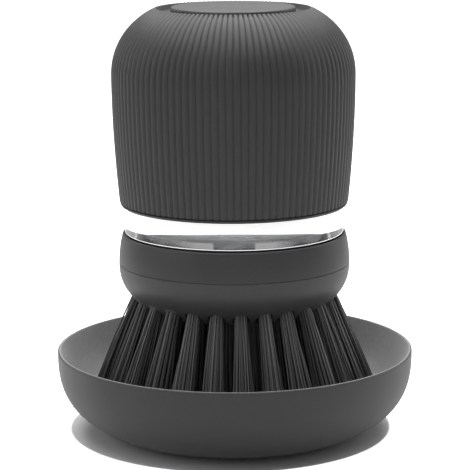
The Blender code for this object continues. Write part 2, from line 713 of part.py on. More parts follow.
def make_retainer(parts):
    """Ring pressed in under the slit valve."""
    outer = NOZZLE_BORE - 2 * SEAT_GAP
    inner = SLIT_DOME_RADIUS + RUNNING_GAP
    profile = [
        (outer, RETAINER_TOP_Z), (outer, RETAINER_Z), (inner, RETAINER_Z), (inner, RETAINER_TOP_Z)
    ]
    grey = plastic("retainer_plastic", (0.3, 0.3, 0.31), 0.45)
    return turned("valve_retainer", profile, SMALL_SIDES, parts, grey)


def dome_radius(height):
    """Radius of the dome's outer side, over its ribs, at a height from its foot to its shoulder."""
    share = (height - DOME_Z) / (SHOULDER_Z - DOME_Z)
    return DOME_FOOT_RADIUS + DOME_BULGE * (1 - (1 - share) ** DOME_SWELL)


def shoulder(inset, steps):
    """Points up the rounded shoulder from the side to the rim, moved in by an inset."""
    side = DOME_FOOT_RADIUS + DOME_BULGE - inset
    top = DOME_TOP_Z - inset
    rise = top - SHOULDER_Z
    curve = (
        (side, SHOULDER_Z),
        (side, SHOULDER_Z + SHOULDER_SIDE * rise),
        (RIM_RADIUS + SHOULDER_REACH * (side - RIM_RADIUS), top - SHOULDER_FALL * rise),
        (RIM_RADIUS, top),
    )
    return [cubic(curve, step / steps) for step in range(steps + 1)]


def make_dome(parts, tools):
    """Ribbed dome with a dish in its top, a sleeve for the button and a ledge over the liner."""
    low = DOME_Z + DOME_FOOT_ROUND
    rings = [(dome_radius(DOME_Z) - DOME_FOOT_ROUND / 2, DOME_Z), (dome_radius(low), low)]
    middle = (low + SHOULDER_Z) / 2
    rings.append((dome_radius(middle), middle))
    rings += shoulder(0.0, 4)
    bm = bmesh.new()
    loops = []
    for radius, height in rings:
        depth = RIB_DEPTH * radius / DOME_FOOT_RADIUS
        ring = bmesh.ops.create_circle(
            bm, segments=2 * RIB_COUNT, radius=radius, matrix=Matrix.Translation((0, 0, height))
        )["verts"]
        for vertex in ring[::2]:
            vertex.co.xy *= (radius - depth) / radius
        loops.append(list({edge for vertex in ring for edge in vertex.link_edges}))
    for lower, upper in zip(loops, loops[1:]):
        bmesh.ops.bridge_loops(bm, edges=lower + upper)
    bmesh.ops.holes_fill(bm, edges=loops[0] + loops[-1], sides=0)
    bmesh.ops.recalc_face_normals(bm, faces=bm.faces)
    mesh = bpy.data.meshes.new("dome_grip")
    bm.to_mesh(mesh)
    bm.free()
    grey = plastic("dome_plastic", (0.045, 0.045, 0.047), 0.55)
    dome = new_object("dome_grip", mesh, parts, grey)
    combine(dome, dome_cavity(tools), "DIFFERENCE")
    return dome


def dome_bore(height):
    """Radius of the dome's inside at a height between its foot and its shoulder."""
    return dome_radius(height) - DOME_WALL - RIB_DEPTH / 2


def dome_cavity(tools):
    """Everything hollow in the dome as one turned cutter: dish, button opening and inside."""
    above = DOME_TOP_Z + DISH_DEPTH
    ledge_z = DECK_TOP_Z + SEAT_GAP
    ledge_top = ledge_z + LEDGE_HEIGHT
    inside = shoulder(DOME_TOP_WALL, 4)[-2::-1]
    roof = DOME_TOP_Z - DOME_TOP_WALL - DISH_DEPTH
    sleeve_z = LIP_TOP_Z + SEAT_GAP
    profile = [
        (0.0, above),
        (DISH_RADIUS, above),
        (DISH_RADIUS, DOME_TOP_Z - RIM_DROP),
        (DISH_RADIUS - DISH_DEPTH / 2, DISH_Z),
        (OPENING_RADIUS, DISH_Z),
        (OPENING_RADIUS, sleeve_z),
        (SLEEVE_RADIUS, sleeve_z),
        (SLEEVE_RADIUS, roof),
        (max(RIM_RADIUS, SLEEVE_RADIUS + SEAT_GAP), roof),
        *[(radius, min(height, roof)) for radius, height in inside],
        (dome_bore(ledge_top), ledge_top),
        (dome_bore(ledge_top) - LEDGE_WIDTH, ledge_top),
        (dome_bore(ledge_z) - LEDGE_WIDTH, ledge_z),
        (dome_bore(ledge_z), ledge_z),
        (DOME_BORE, DOME_Z + 2 * DOME_FOOT_ROUND),
        (DOME_BORE, DOME_Z - DOME_WALL),
        (0.0, DOME_Z - DOME_WALL),
    ]
    return as_cutter(turned("dome_cavity", profile, INNER_SIDES, tools, closed=False))


def make_liner(parts, tools):
    """Inner cap: threaded skirt, deck, and the pump cylinder standing on the deck."""
    flange = dome_bore(DECK_Z) - SEAT_GAP
    profile = [
        (CYLINDER_RADIUS, CYLINDER_TOP_Z),
        (CYLINDER_RADIUS, DECK_TOP_Z),
        (flange, DECK_TOP_Z),
        (flange, DECK_Z),
        (LINER_RADIUS, DECK_Z),
        (LINER_RADIUS, SKIRT_Z),
        (LINER_BORE, SKIRT_Z),
        (LINER_BORE, DECK_Z),
        (PORT_RADIUS, DECK_Z),
        (PORT_RADIUS, DECK_TOP_Z),
        (CYLINDER_BORE, DECK_TOP_Z),
        (CYLINDER_BORE, CYLINDER_TOP_Z),
    ]
    white = plastic("liner_plastic", (0.6, 0.6, 0.6), 0.4)
    liner = turned("cap_liner", profile, INNER_SIDES, parts, white)
    root = LINER_BORE + 0.3 * LINER_WALL
    section = thread_section(root, NECK_RADIUS + RUNNING_GAP, CAP_THREAD_Z)
    ridge = swept(
        "cap_thread", section, 2 * math.pi * THREAD_TURNS, 0.0, tools,
        THREAD_LEAD * THREAD_TURNS, int(THREAD_STEPS_A_TURN * THREAD_TURNS),
    )
    combine(liner, ridge, "UNION")
    middle = DECK_Z + DECK_THICKNESS / 2
    holes = [("valve_hole", 0.0, VALVE_HOLE_RADIUS)]
    across = (VALVE_HOLE_RADIUS + UMBRELLA_RADIUS) / 2
    holes += [("vent_1", across, VENT_RADIUS), ("vent_2", -across, VENT_RADIUS)]
    for name, aside, radius in holes:
        hole = round_bar(name, radius, 2 * DECK_THICKNESS, (VALVE_AT, aside, middle), tools, 8)
        combine(liner, hole, "DIFFERENCE")
    return liner


def make_cap_gasket(parts):
    """Flat ring between the neck's rim and the deck."""
    outer = NECK_RADIUS + THREAD_DEPTH / 2
    top = DECK_Z - SEAT_GAP
    low = top - GASKET_THICKNESS
    profile = [(outer, top), (outer, low), (NECK_BORE, low), (NECK_BORE, top)]
    rubber = plastic("cap_gasket_rubber", (0.5, 0.5, 0.5), 0.7)
    return turned("cap_gasket", profile, INNER_SIDES, parts, rubber)


def make_air_valve(parts):
    """Umbrella valve pulled through the deck, its brim over the vents."""
    brim = DECK_Z - SEAT_GAP
    bulb = DECK_TOP_Z + SEAT_GAP
    profile = [
        (0.0, bulb + VALVE_BULB_HEIGHT),
        (0.5 * VALVE_BULB_RADIUS, bulb + VALVE_BULB_HEIGHT),
        (VALVE_BULB_RADIUS, bulb),
        (VALVE_STEM_RADIUS, bulb),
        (VALVE_STEM_RADIUS, brim),
        (UMBRELLA_RADIUS, brim),
        (UMBRELLA_RADIUS, brim - UMBRELLA_THICKNESS / 2),
        (0.0, brim - 2 * UMBRELLA_THICKNESS),
    ]
    rubber = plastic("air_valve_silicone", (0.7, 0.7, 0.7), 0.6)
    valve = turned("air_inlet_valve", profile, 12, parts, rubber, closed=False)
    valve.location.x = VALVE_AT
    return valve


def make_button(parts):
    """Push button: top, skirt with its snap lip, and the socket for the plunger underneath."""
    edge = BUTTON_THICKNESS / 4
    profile = [
        (0.0, BUTTON_TOP_Z),
        (BUTTON_RADIUS - edge, BUTTON_TOP_Z),
        (BUTTON_RADIUS, BUTTON_TOP_Z - edge),
        (BUTTON_RADIUS, LIP_TOP_Z),
        (BUTTON_RADIUS + BUTTON_LIP, LIP_TOP_Z),
        (BUTTON_RADIUS + BUTTON_LIP, LIP_TOP_Z - BUTTON_LIP_HEIGHT / 2),
        (BUTTON_RADIUS + BUTTON_LIP / 2, BUTTON_FOOT_Z),
        (SKIRT_BORE, BUTTON_FOOT_Z),
        (SKIRT_BORE, BUTTON_INSIDE_Z),
        (SOCKET_BORE + SOCKET_WALL, BUTTON_INSIDE_Z),
        (SOCKET_BORE + SOCKET_WALL, SOCKET_Z),
        (SOCKET_BORE, SOCKET_Z),
        (SOCKET_BORE, BUTTON_INSIDE_Z),
        (0.0, BUTTON_INSIDE_Z),
    ]
    grey = plastic("button_plastic", (0.2, 0.2, 0.2), 0.4)
    return turned("push_button", profile, INNER_SIDES, parts, grey, closed=False)


def make_plunger(parts):
    """Stem with a flange in the button's socket and a grooved piston at its foot."""
    top = BUTTON_INSIDE_Z - SEAT_GAP
    groove_radius = SEAL_BORE - SEAT_GAP
    ring = PISTON_HEIGHT / 5
    profile = [
        (0.0, top),
        (PLUNGER_FLANGE_RADIUS, top),
        (PLUNGER_FLANGE_RADIUS, top - PLUNGER_FLANGE),
        (STEM_RADIUS, top - PLUNGER_FLANGE),
        (STEM_RADIUS, PISTON_TOP_Z),
        (PISTON_RADIUS, PISTON_TOP_Z),
        (PISTON_RADIUS, PISTON_TOP_Z - ring),
        (groove_radius, PISTON_TOP_Z - ring),
        (groove_radius, PISTON_Z + ring),
        (PISTON_RADIUS, PISTON_Z + ring),
        (PISTON_RADIUS, PISTON_Z),
        (0.0, PISTON_Z),
    ]
    white = plastic("plunger_plastic", (0.6, 0.6, 0.6), 0.4)
    return turned("plunger", profile, SMALL_SIDES, parts, white, closed=False)


def make_seal(parts):
    """Soft ring in the piston's groove."""
    ring = PISTON_HEIGHT / 5
    top = PISTON_TOP_Z - ring - SEAT_GAP
    low = PISTON_Z + ring + SEAT_GAP
    profile = [(SEAL_RADIUS, top), (SEAL_RADIUS, low), (SEAL_BORE, low), (SEAL_BORE, top)]
    rubber = plastic("piston_seal_rubber", (0.03, 0.03, 0.03), 0.6)
    return turned("piston_seal", profile, SMALL_SIDES, parts, rubber)


def spring_points():
    """Points along the spring's wire, its turns closer together at both ends."""
    low = DECK_TOP_Z + SEAT_GAP + SPRING_WIRE_RADIUS
    high = BUTTON_INSIDE_Z - SEAT_GAP - SPRING_WIRE_RADIUS
    open_turns = SPRING_TURNS - 2
    open_pitch = (high - low - 2 * SPRING_END_PITCH) / open_turns
    points = []
    for step in range(SPRING_TURNS * SPRING_POINTS_A_TURN + 1):
        turn = step / SPRING_POINTS_A_TURN
        middle = min(max(turn - 1, 0.0), open_turns)
        height = low + SPRING_END_PITCH * (turn - middle) + open_pitch * middle
        angle = 2 * math.pi * turn
        points.append(
            Vector((SPRING_RADIUS * math.cos(angle), SPRING_RADIUS * math.sin(angle), height))
        )
    return points


def least_gap(points, radius, turn_points):
    """Least distance between a wire's own turns, measured between its points."""
    apart = turn_points // 2
    nearest = min(
        (a - b).length
        for index, a in enumerate(points)
        for b in points[index + apart:]
    )
    return nearest - 2 * radius


def make_spring(parts):
    """Return spring between the deck and the button, as one unbroken wire."""
    points = spring_points()
    gap = least_gap(points, SPRING_WIRE_RADIUS, SPRING_POINTS_A_TURN)
    print(f"return_spring: least gap between its turns {gap / MM:.2f} mm")
    curve = bpy.data.curves.new("return_spring", "CURVE")
    curve.dimensions = "3D"
    curve.bevel_depth = SPRING_WIRE_RADIUS
    curve.bevel_resolution = 1
    curve.use_fill_caps = True
    spline = curve.splines.new("POLY")
    spline.points.add(len(points) - 1)
    for point, place in zip(spline.points, points):
        point.co = (*place, 1.0)
    spring = bpy.data.objects.new("return_spring", curve)
    curve.materials.append(steel("spring_steel"))
    parts.objects.link(spring)
    return spring


def joint_empty(name, height, parts, parent=None):
    """Make an empty on the upright axis that carries what moves together."""
    empty = bpy.data.objects.new(name, None)
    empty.empty_display_size = 10 * MM
    parts.objects.link(empty)
    empty.location.z = height
    if parent:
        attach([empty], parent)
    return empty


def attach(objects, empty):
    """Parent objects to an empty without moving them."""
    bpy.context.view_layer.update()
    for obj in objects:
        place = obj.matrix_world.copy()
        obj.parent = empty
        obj.matrix_parent_inverse = empty.matrix_world.inverted()
        obj.matrix_world = place


def main():
    """Build every piece and hang it on the empty of the body it moves with."""
    clear_scene()
    parts = new_collection("soap_dispensing_dish_brush")
    tools = new_collection("cutters")

    make_tray(parts)
    make_grip_ring(parts)

    lift = joint_empty("lift_from_tray", PLATE_Z, parts)
    twist = joint_empty("head_twist", COLLAR_Z, parts, lift)
    turn = joint_empty("cap_turn", DOME_Z, parts, lift)
    press = joint_empty("button_press", BUTTON_TOP_Z, parts, turn)

    vessel = [make_collar(parts, tools), make_reservoir(parts, tools), make_nozzle(parts)]
    vessel += [make_nozzle_gasket(parts), make_slit_valve(parts, tools), make_retainer(parts)]
    attach(vessel, lift)

    head = [make_head(parts, tools)]
    side = tray_inner_side(TRAY_STEPS)
    bristle = plastic("bristle_nylon", (0.03, 0.03, 0.032), 0.45)
    head += [
        make_tuft(name, place, strands, side, parts, bristle)
        for name, place, strands in tuft_places()
    ]
    attach(head, twist)

    cap = [make_dome(parts, tools), make_liner(parts, tools), make_cap_gasket(parts)]
    cap += [make_air_valve(parts), make_spring(parts)]
    attach(cap, turn)

    attach([make_button(parts), make_plunger(parts), make_seal(parts)], press)
    for obj in parts.objects:
        if obj.type == "MESH":
            smooth(obj)


main()
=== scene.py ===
"""Soap dispensing dish brush standing in its drip tray, dressed for a plain studio picture.

Sizes in the classes are millimetres, and a mesh is made in metres. The origin is on the counter under
the middle of the tray, +Z is up, and the side that the picture shows faces -Y.
"""

import logging
import math
import random
from collections.abc import Sequence
from dataclasses import dataclass
from enum import Enum
from functools import reduce

import bmesh
import bpy
from mathutils import Matrix, Vector


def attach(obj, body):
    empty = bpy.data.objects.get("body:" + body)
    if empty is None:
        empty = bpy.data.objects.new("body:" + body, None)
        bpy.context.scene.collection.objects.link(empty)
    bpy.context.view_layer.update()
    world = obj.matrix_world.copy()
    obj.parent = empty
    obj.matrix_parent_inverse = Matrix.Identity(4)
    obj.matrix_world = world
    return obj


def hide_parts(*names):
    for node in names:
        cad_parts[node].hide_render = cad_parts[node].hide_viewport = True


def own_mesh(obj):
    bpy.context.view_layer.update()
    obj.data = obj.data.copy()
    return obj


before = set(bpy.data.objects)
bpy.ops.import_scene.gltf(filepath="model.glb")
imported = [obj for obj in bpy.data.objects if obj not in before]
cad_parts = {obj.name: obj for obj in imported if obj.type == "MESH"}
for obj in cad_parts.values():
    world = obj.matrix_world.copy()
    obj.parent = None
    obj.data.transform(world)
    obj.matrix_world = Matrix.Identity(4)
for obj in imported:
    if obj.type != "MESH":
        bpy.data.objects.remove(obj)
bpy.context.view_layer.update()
MM = 0.001
GAP = 0.3
LOG = logging.getLogger("dish_brush")

Shell = bmesh.types.BMesh
Socket = bpy.types.NodeSocket
Colour = tuple[float, float, float]
Points = Sequence[tuple[float, ...]]


# ---- turned outlines and the operators that make every piece

SECTORS = 8
ROUNDING_STEPS = 4
DRILL_SIDES = 28


class Join(Enum):
    """What a tool does to the shell that it meets."""

    CUT = "DIFFERENCE"
    WELD = "UNION"


def as_mesh(bm: Shell, name: str) -> bpy.types.Mesh:
    """Turn a shell into a mesh.

    Args:
        bm: The shell, which is freed.
        name: The mesh's name.

    Returns:
        The mesh.
    """
    mesh = bpy.data.meshes.new(name)
    bm.to_mesh(mesh)
    bm.free()
    return mesh


def linked(name: str, data: bpy.types.ID) -> bpy.types.Object:
    """Put a new object in the scene.

    Args:
        name: The object's name.
        data: Its mesh, lamp or camera.

    Returns:
        The object.
    """
    made = bpy.data.objects.new(name, data)
    bpy.context.scene.collection.objects.link(made)
    return made


def spun(outline: Points, closed: bool = True, steps: int = 192) -> Shell:
    """Round an outline's corners and spin it about the upright axis.

    Args:
        outline: Radius, height and, if it is rounded, rounding of each corner in order.
        closed: Whether the last corner joins the first, rather than both ending on the axis.
        steps: Facets round the axis, a multiple of SECTORS.

    Returns:
        A closed shell.
    """
    bm = bmesh.new()
    verts = [bm.verts.new((radius * MM, 0.0, height * MM)) for radius, height, *_ in outline]
    for first, second in zip(verts, verts[1:] + verts[:1] if closed else verts[1:]):
        bm.edges.new((first, second))
    for vert, (_, _, *rounding) in zip(verts, outline):
        if rounding:
            bmesh.ops.bevel(
                bm, geom=[vert], offset=rounding[0] * MM, segments=ROUNDING_STEPS, profile=0.5,
                affect="VERTICES", clamp_overlap=True, material=-1,
            )
    bmesh.ops.spin(
        bm, geom=[*bm.verts, *bm.edges], cent=(0, 0, 0), axis=(0, 0, 1),
        angle=2 * math.pi / SECTORS, steps=steps // SECTORS,
    )
    bmesh.ops.spin(
        bm, geom=[*bm.verts, *bm.edges, *bm.faces], cent=(0, 0, 0), axis=(0, 0, 1),
        angle=2 * math.pi, steps=SECTORS, use_duplicate=True,
    )
    bmesh.ops.remove_doubles(bm, verts=bm.verts, dist=1e-6)
    bmesh.ops.recalc_face_normals(bm, faces=bm.faces)
    return bm


def washer(outer: float, inner: float, top: float, low: float, roundings: Sequence[float], steps: int
           ) -> Shell:
    """Make a plain ring.

    Args:
        outer: Outer radius.
        inner: Inner radius.
        top: Height of its top.
        low: Height of its underside.
        roundings: Of its corners, from the outer top one, down and inwards.
        steps: Facets round the axis.

    Returns:
        The ring.
    """
    corners = ((outer, top), (outer, low), (inner, low), (inner, top))
    return spun([(*corner, rounding) for corner, rounding in zip(corners, roundings)], steps=steps)


def oblong(inner: float, outer: float, low: float, high: float) -> Points:
    """List the corners of an oblong section from two radii and two heights."""
    return (inner, low), (outer, low), (outer, high), (inner, high)


def swept(section: Points, start: float, *legs: tuple[float, float, int]) -> Shell:
    """Sweep a closed section round the upright axis.

    Args:
        section: Radius and height of the section's corners.
        start: Angle of the first end, in radians.
        legs: Angle in radians, height gained and facets of each leg of the way.

    Returns:
        A closed bar.
    """
    bm = bmesh.new()
    face = bm.faces.new([bm.verts.new((radius * MM, 0.0, height * MM)) for radius, height in section])
    bmesh.ops.rotate(bm, verts=bm.verts, cent=(0, 0, 0), matrix=Matrix.Rotation(start, 3, "Z"))
    end = [face, *face.edges, *face.verts]
    for angle, rise, steps in legs:
        end = bmesh.ops.spin(
            bm, geom=end, cent=(0, 0, 0), axis=(0, 0, 1), dvec=(0, 0, rise * MM / steps),
            angle=angle, steps=steps, use_duplicate=False,
        )["geom_last"]
    bmesh.ops.holes_fill(bm, edges=[edge for edge in bm.edges if edge.is_boundary], sides=0)
    bmesh.ops.recalc_face_normals(bm, faces=bm.faces)
    return bm


def bar(rings: Points, sides: int, unit: float = 1.0) -> Shell:
    """Make a bar from rings down the upright axis.

    Args:
        rings: Height and radius of each ring, from the top down.
        sides: Sides round the bar.
        unit: The unit of the rings, in metres.

    Returns:
        The closed bar.
    """
    (top, radius), *_ = rings
    bm = bmesh.new()
    start = bmesh.ops.create_circle(bm, cap_ends=True, segments=sides, radius=radius * unit)["verts"]
    bmesh.ops.translate(bm, verts=start, vec=(0, 0, top * unit))
    face = bm.faces[:][0]
    for (upper, wide), (lower, wider) in zip(rings, rings[1:]):
        grown = bmesh.ops.extrude_face_region(bm, geom=[face], use_keep_orig=upper == top)["geom"]
        face = next(item for item in grown if isinstance(item, bmesh.types.BMFace))
        bmesh.ops.scale(bm, vec=(wider / wide, wider / wide, 1), verts=face.verts)
        bmesh.ops.translate(bm, verts=face.verts, vec=(0, 0, (lower - upper) * unit))
    bmesh.ops.recalc_face_normals(bm, faces=bm.faces)
    return bm


def drill(radius: float, depth: float, place: Matrix, mouth: float = 0.0) -> Shell:
    """Make a drill that reaches both ways from a place.

    Args:
        radius: Its radius.
        depth: How far it reaches up and down its own axis.
        place: Where its middle goes, in metres.
        mouth: Half the height of a countersink at its middle, 0 for none.

    Returns:
        The drill.
    """
    wide = radius + 2 * mouth
    countersink = [(mouth, radius), (-mouth, wide)] if mouth else []
    bm = bar([(depth, radius), *countersink, (-depth, wide)], DRILL_SIDES, MM)
    bm.transform(place)
    bmesh.ops.recalc_face_normals(bm, faces=bm.faces)
    return bm


def carved(base: Shell, tools: Sequence[tuple[Shell, Join]]) -> Shell:
    """Cut tools from a shell, or weld them to it, one after another.

    Args:
        base: The shell.
        tools: Each tool with what it does.

    Returns:
        The finished shell.
    """
    shells = (base, *(tool for tool, _ in tools))
    helpers = [linked("helper", as_mesh(shell, "helper")) for shell in shells]
    for helper, (_, join) in zip(helpers[1:], tools):
        boolean = helpers[0].modifiers.new("Join", "BOOLEAN")
        boolean.operation, boolean.solver, boolean.object = join.value, "EXACT", helper
    finished = bmesh.new()
    finished.from_object(helpers[0], bpy.context.evaluated_depsgraph_get())
    for helper in helpers:
        mesh = helper.data
        bpy.data.objects.remove(helper, do_unlink=True)
        bpy.data.meshes.remove(mesh)
    return finished


def together(shells: Sequence[Shell]) -> Shell:
    """Put several shells that don't touch in one.

    Args:
        shells: The shells, which are freed.

    Returns:
        One that holds them all.
    """
    whole = bmesh.new()
    for shell in shells:
        mesh = as_mesh(shell, "helper")
        whole.from_mesh(mesh)
        bpy.data.meshes.remove(mesh)
    return whole


def cubic(ends: Points, steps: int) -> list[tuple[float, float]]:
    """Read points off the cubic curve of four (radius, height) points.

    Args:
        ends: First point, its handle, the last point's handle, the last point.
        steps: Spans along the curve.

    Returns:
        The points, one more than the spans.
    """
    points = []
    for step in range(steps + 1):
        t = step / steps
        weights = ((1 - t) ** 3, 3 * (1 - t) ** 2 * t, 3 * (1 - t) * t**2, t**3)
        points.append(tuple(sum(w * end[axis] for w, end in zip(weights, ends)) for axis in (0, 1)))
    return points


# ---- finishes


class Grain(Enum):
    """Size in millimetres of the grain that a mould's texture leaves."""

    SATIN = 0.28
    MATT = 0.42


class Nodes:
    """The node tree of a material or of the world."""

    def __init__(self, tree: bpy.types.NodeTree) -> None:
        """Take the tree over."""
        self.tree = tree

    def node(self, kind: str, **settings: object) -> bpy.types.Node:
        """Add a node.

        Args:
            kind: Its type.
            settings: Its properties.

        Returns:
            The node.
        """
        made = self.tree.nodes.new(kind)
        for name, value in settings.items():
            setattr(made, name, value)
        return made

    def link(self, source: Socket, target: Socket) -> None:
        """Link one socket to another."""
        self.tree.links.new(source, target)

    def between(self, source: Socket, low: float, high: float, first: float = 0.0, last: float = 1.0
                ) -> Socket:
        """Map a value from one range to another, held at its ends.

        Args:
            source: The value.
            low: Where the first result stands.
            high: Where the last result stands.
            first: The first result.
            last: The last result.

        Returns:
            The result.
        """
        ramp = self.node("ShaderNodeMapRange", clamp=True)
        self.link(source, ramp.inputs["Value"])
        for name, value in (("From Min", low), ("From Max", high), ("To Min", first), ("To Max", last)):
            ramp.inputs[name].default_value = value
        return ramp.outputs["Result"]

    def math(self, operation: str, first: Socket, second: Socket | float = 0.0) -> Socket:
        """Combine a value with a number or another value.

        Args:
            operation: What the Math node does.
            first: The value.
            second: The number or other value.

        Returns:
            The result.
        """
        made = self.node("ShaderNodeMath", operation=operation)
        self.link(first, made.inputs[0])
        if isinstance(second, float):
            made.inputs[1].default_value = second
        else:
            self.link(second, made.inputs[1])
        return made.outputs["Value"]

    def times(self, *values: Socket) -> Socket:
        """Multiply values."""
        return reduce(lambda first, second: self.math("MULTIPLY", first, second), values)

    def most(self, *values: Socket) -> Socket:
        """Take the largest of some values."""
        return reduce(lambda first, second: self.math("MAXIMUM", first, second), values)

    def vector(self, operation: str, source: Socket, fixed: Sequence[float] = (0.0, 0.0, 0.0),
               output: str = "Vector") -> Socket:
        """Combine a vector with a fixed one.

        Args:
            operation: What the Vector Math node does.
            source: The vector.
            fixed: The fixed one.
            output: Which result is wanted.

        Returns:
            The result.
        """
        made = self.node("ShaderNodeVectorMath", operation=operation)
        self.link(source, made.inputs[0])
        made.inputs[1].default_value = fixed
        return made.outputs[output]


class Shader(Nodes):
    """One material's node tree, built up round its Principled shader."""

    def __init__(self, name: str) -> None:
        """Start a material with a name."""
        self.material = bpy.data.materials.new(name)
        self.material.use_nodes = True
        super().__init__(self.material.node_tree)
        self.principled = self.tree.nodes["Principled BSDF"]
        self.place = self.node("ShaderNodeTexCoord").outputs["Object"]

    def fixed(self, **values: float) -> None:
        """Set sockets of the Principled shader that are the same all over the surface."""
        for name, value in values.items():
            self.principled.inputs[name].default_value = value

    def noise(self, size: float, detail: float = 2.0, stretch: float = 1.0) -> Socket:
        """Add a noise pattern in the object's own coordinates.

        Args:
            size: Size of its spots in millimetres.
            detail: Octaves of finer spots.
            stretch: How much taller than wide the spots are.

        Returns:
            Its value, from 0 to 1.
        """
        mapping = self.node("ShaderNodeMapping")
        mapping.inputs["Scale"].default_value = (1.0, 1.0, 1.0 / stretch)
        self.link(self.place, mapping.inputs["Vector"])
        noise = self.node("ShaderNodeTexNoise")
        noise.inputs["Scale"].default_value = 1.0 / (size * MM)
        noise.inputs["Detail"].default_value = detail
        self.link(mapping.outputs["Vector"], noise.inputs["Vector"])
        return noise.outputs["Fac"]

    def colours(self, factor: Socket, first: Socket | Sequence[float], last: Sequence[float]) -> Socket:
        """Mix two colours by a value.

        Args:
            factor: The value.
            first: Colour at 0, linear or mixed before.
            last: Linear colour at 1.

        Returns:
            The mixed colour.
        """
        mix = self.node("ShaderNodeMix", data_type="RGBA")
        if isinstance(first, Socket):
            self.link(first, mix.inputs["A"])
        else:
            mix.inputs["A"].default_value = (*first, 1.0)
        mix.inputs["B"].default_value = (*last, 1.0)
        self.link(factor, mix.inputs["Factor"])
        return mix.outputs["Result"]

    def bump(self, height: Socket, depth: float, under: Socket | None = None) -> Socket:
        """Turn a pattern into relief.

        Args:
            height: The pattern.
            depth: The relief's depth in millimetres.
            under: Relief that it lies on.

        Returns:
            The normal.
        """
        made = self.node("ShaderNodeBump")
        made.inputs["Distance"].default_value = depth * MM
        self.link(height, made.inputs["Height"])
        if under:
            self.link(under, made.inputs["Normal"])
        return made.outputs["Normal"]

    def to(self, name: str, socket: Socket) -> None:
        """Link a socket to an input of the Principled shader."""
        self.link(socket, self.principled.inputs[name])

    def glow(self, strength: Socket) -> None:
        """Give the surface white light of its own."""
        self.to("Emission Strength", strength)
        self.principled.inputs["Emission Color"].default_value = (1.0, 1.0, 1.0, 1.0)


class Zone:
    """Masks that fade along a point's axes, in millimetres."""

    def __init__(self, shader: Shader) -> None:
        """Measure where a shader's point is.

        Args:
            shader: The shader.
        """
        self.shader, scale = shader, 1 / MM
        split = shader.node("ShaderNodeSeparateXYZ")
        place = shader.vector("MULTIPLY", shader.place, (scale, scale, scale))
        shader.link(place, split.inputs["Vector"])
        x, y, z = split.outputs
        flat = shader.vector("MULTIPLY", shader.place, (scale, scale, 0.0))
        across, depth = shader.math("ABSOLUTE", x), shader.math("ABSOLUTE", y)
        radius = shader.vector("LENGTH", flat, output="Value")
        self.axes = {"across": across, "depth": depth, "y": y, "z": z, "radius": radius}

    def __call__(self, **ramps: Sequence[float]) -> Socket:
        """Multiply ramps along the axes that they are named after."""
        between = self.shader.between
        return self.shader.times(*(between(self.axes[axis], *ramp) for axis, ramp in ramps.items()))


@dataclass(frozen=True)
class MouldedPlastic:
    """Injection moulded plastic with a spark-eroded texture and faint flow marks."""

    name: str
    colour: Colour
    roughness: float = 0.5
    grain: Grain = Grain.SATIN
    relief: float = 0.012
    mottle: float = 0.1
    haze: float = 0.0
    uneven: float = 0.07

    def material(self) -> bpy.types.Material:
        """Build the material."""
        shader = Shader(self.name)
        shader.fixed(**{"IOR": 1.5, "Sheen Weight": self.haze, "Sheen Roughness": 0.5})
        flow = shader.noise(9.0, 3.0, 2.5)
        tone = shader.times(flow, shader.noise(self.grain.value * 2.2))
        dark, light = ([channel * (1 + way * self.mottle) for channel in self.colour] for way in (-1, 1))
        shader.to("Base Color", shader.colours(shader.between(tone, 0.12, 0.38), dark, light))
        low, high = (self.roughness * (1 + way * self.uneven) for way in (-1, 1))
        shader.to("Roughness", shader.between(flow, 0.3, 0.7, low, high))
        waves = shader.bump(shader.noise(14.0, 1.0), 0.03)
        shader.to("Normal", shader.bump(shader.noise(self.grain.value, 3.0), self.relief, waves))
        return shader.material


@dataclass(frozen=True)
class SoftRubber:
    """Moulded rubber or silicone, dull and a little uneven."""

    name: str
    colour: Colour
    roughness: float = 0.7
    uneven: float = 0.08

    def material(self) -> bpy.types.Material:
        """Build the material."""
        shader = Shader(self.name)
        bloom = shader.noise(3.0, 4.0)
        dark = [channel * 0.88 for channel in self.colour]
        light = [channel * 1.15 + 0.004 for channel in self.colour]
        shader.to("Base Color", shader.colours(shader.between(bloom, 0.3, 0.7), dark, light))
        low, high = self.roughness - self.uneven, self.roughness + self.uneven
        shader.to("Roughness", shader.between(bloom, 0.25, 0.75, low, high))
        shader.to("Normal", shader.bump(shader.noise(0.5, 3.0), 0.02))
        return shader.material


@dataclass(frozen=True)
class NylonBristle:
    """Drawn nylon whose filaments differ a little in shade and shine."""

    name: str
    dark: Colour
    light: Colour

    def material(self) -> bpy.types.Material:
        """Build the material."""
        shader = Shader(self.name)
        shade = shader.node("ShaderNodeAttribute", attribute_name="shade").outputs["Fac"]
        shader.to("Base Color", shader.colours(shade, self.dark, self.light))
        shader.to("Roughness", shader.between(shade, 0.0, 1.0, 0.42, 0.3))
        shader.to("Normal", shader.bump(shader.noise(0.12, 2.0, 8.0), 0.006))
        return shader.material


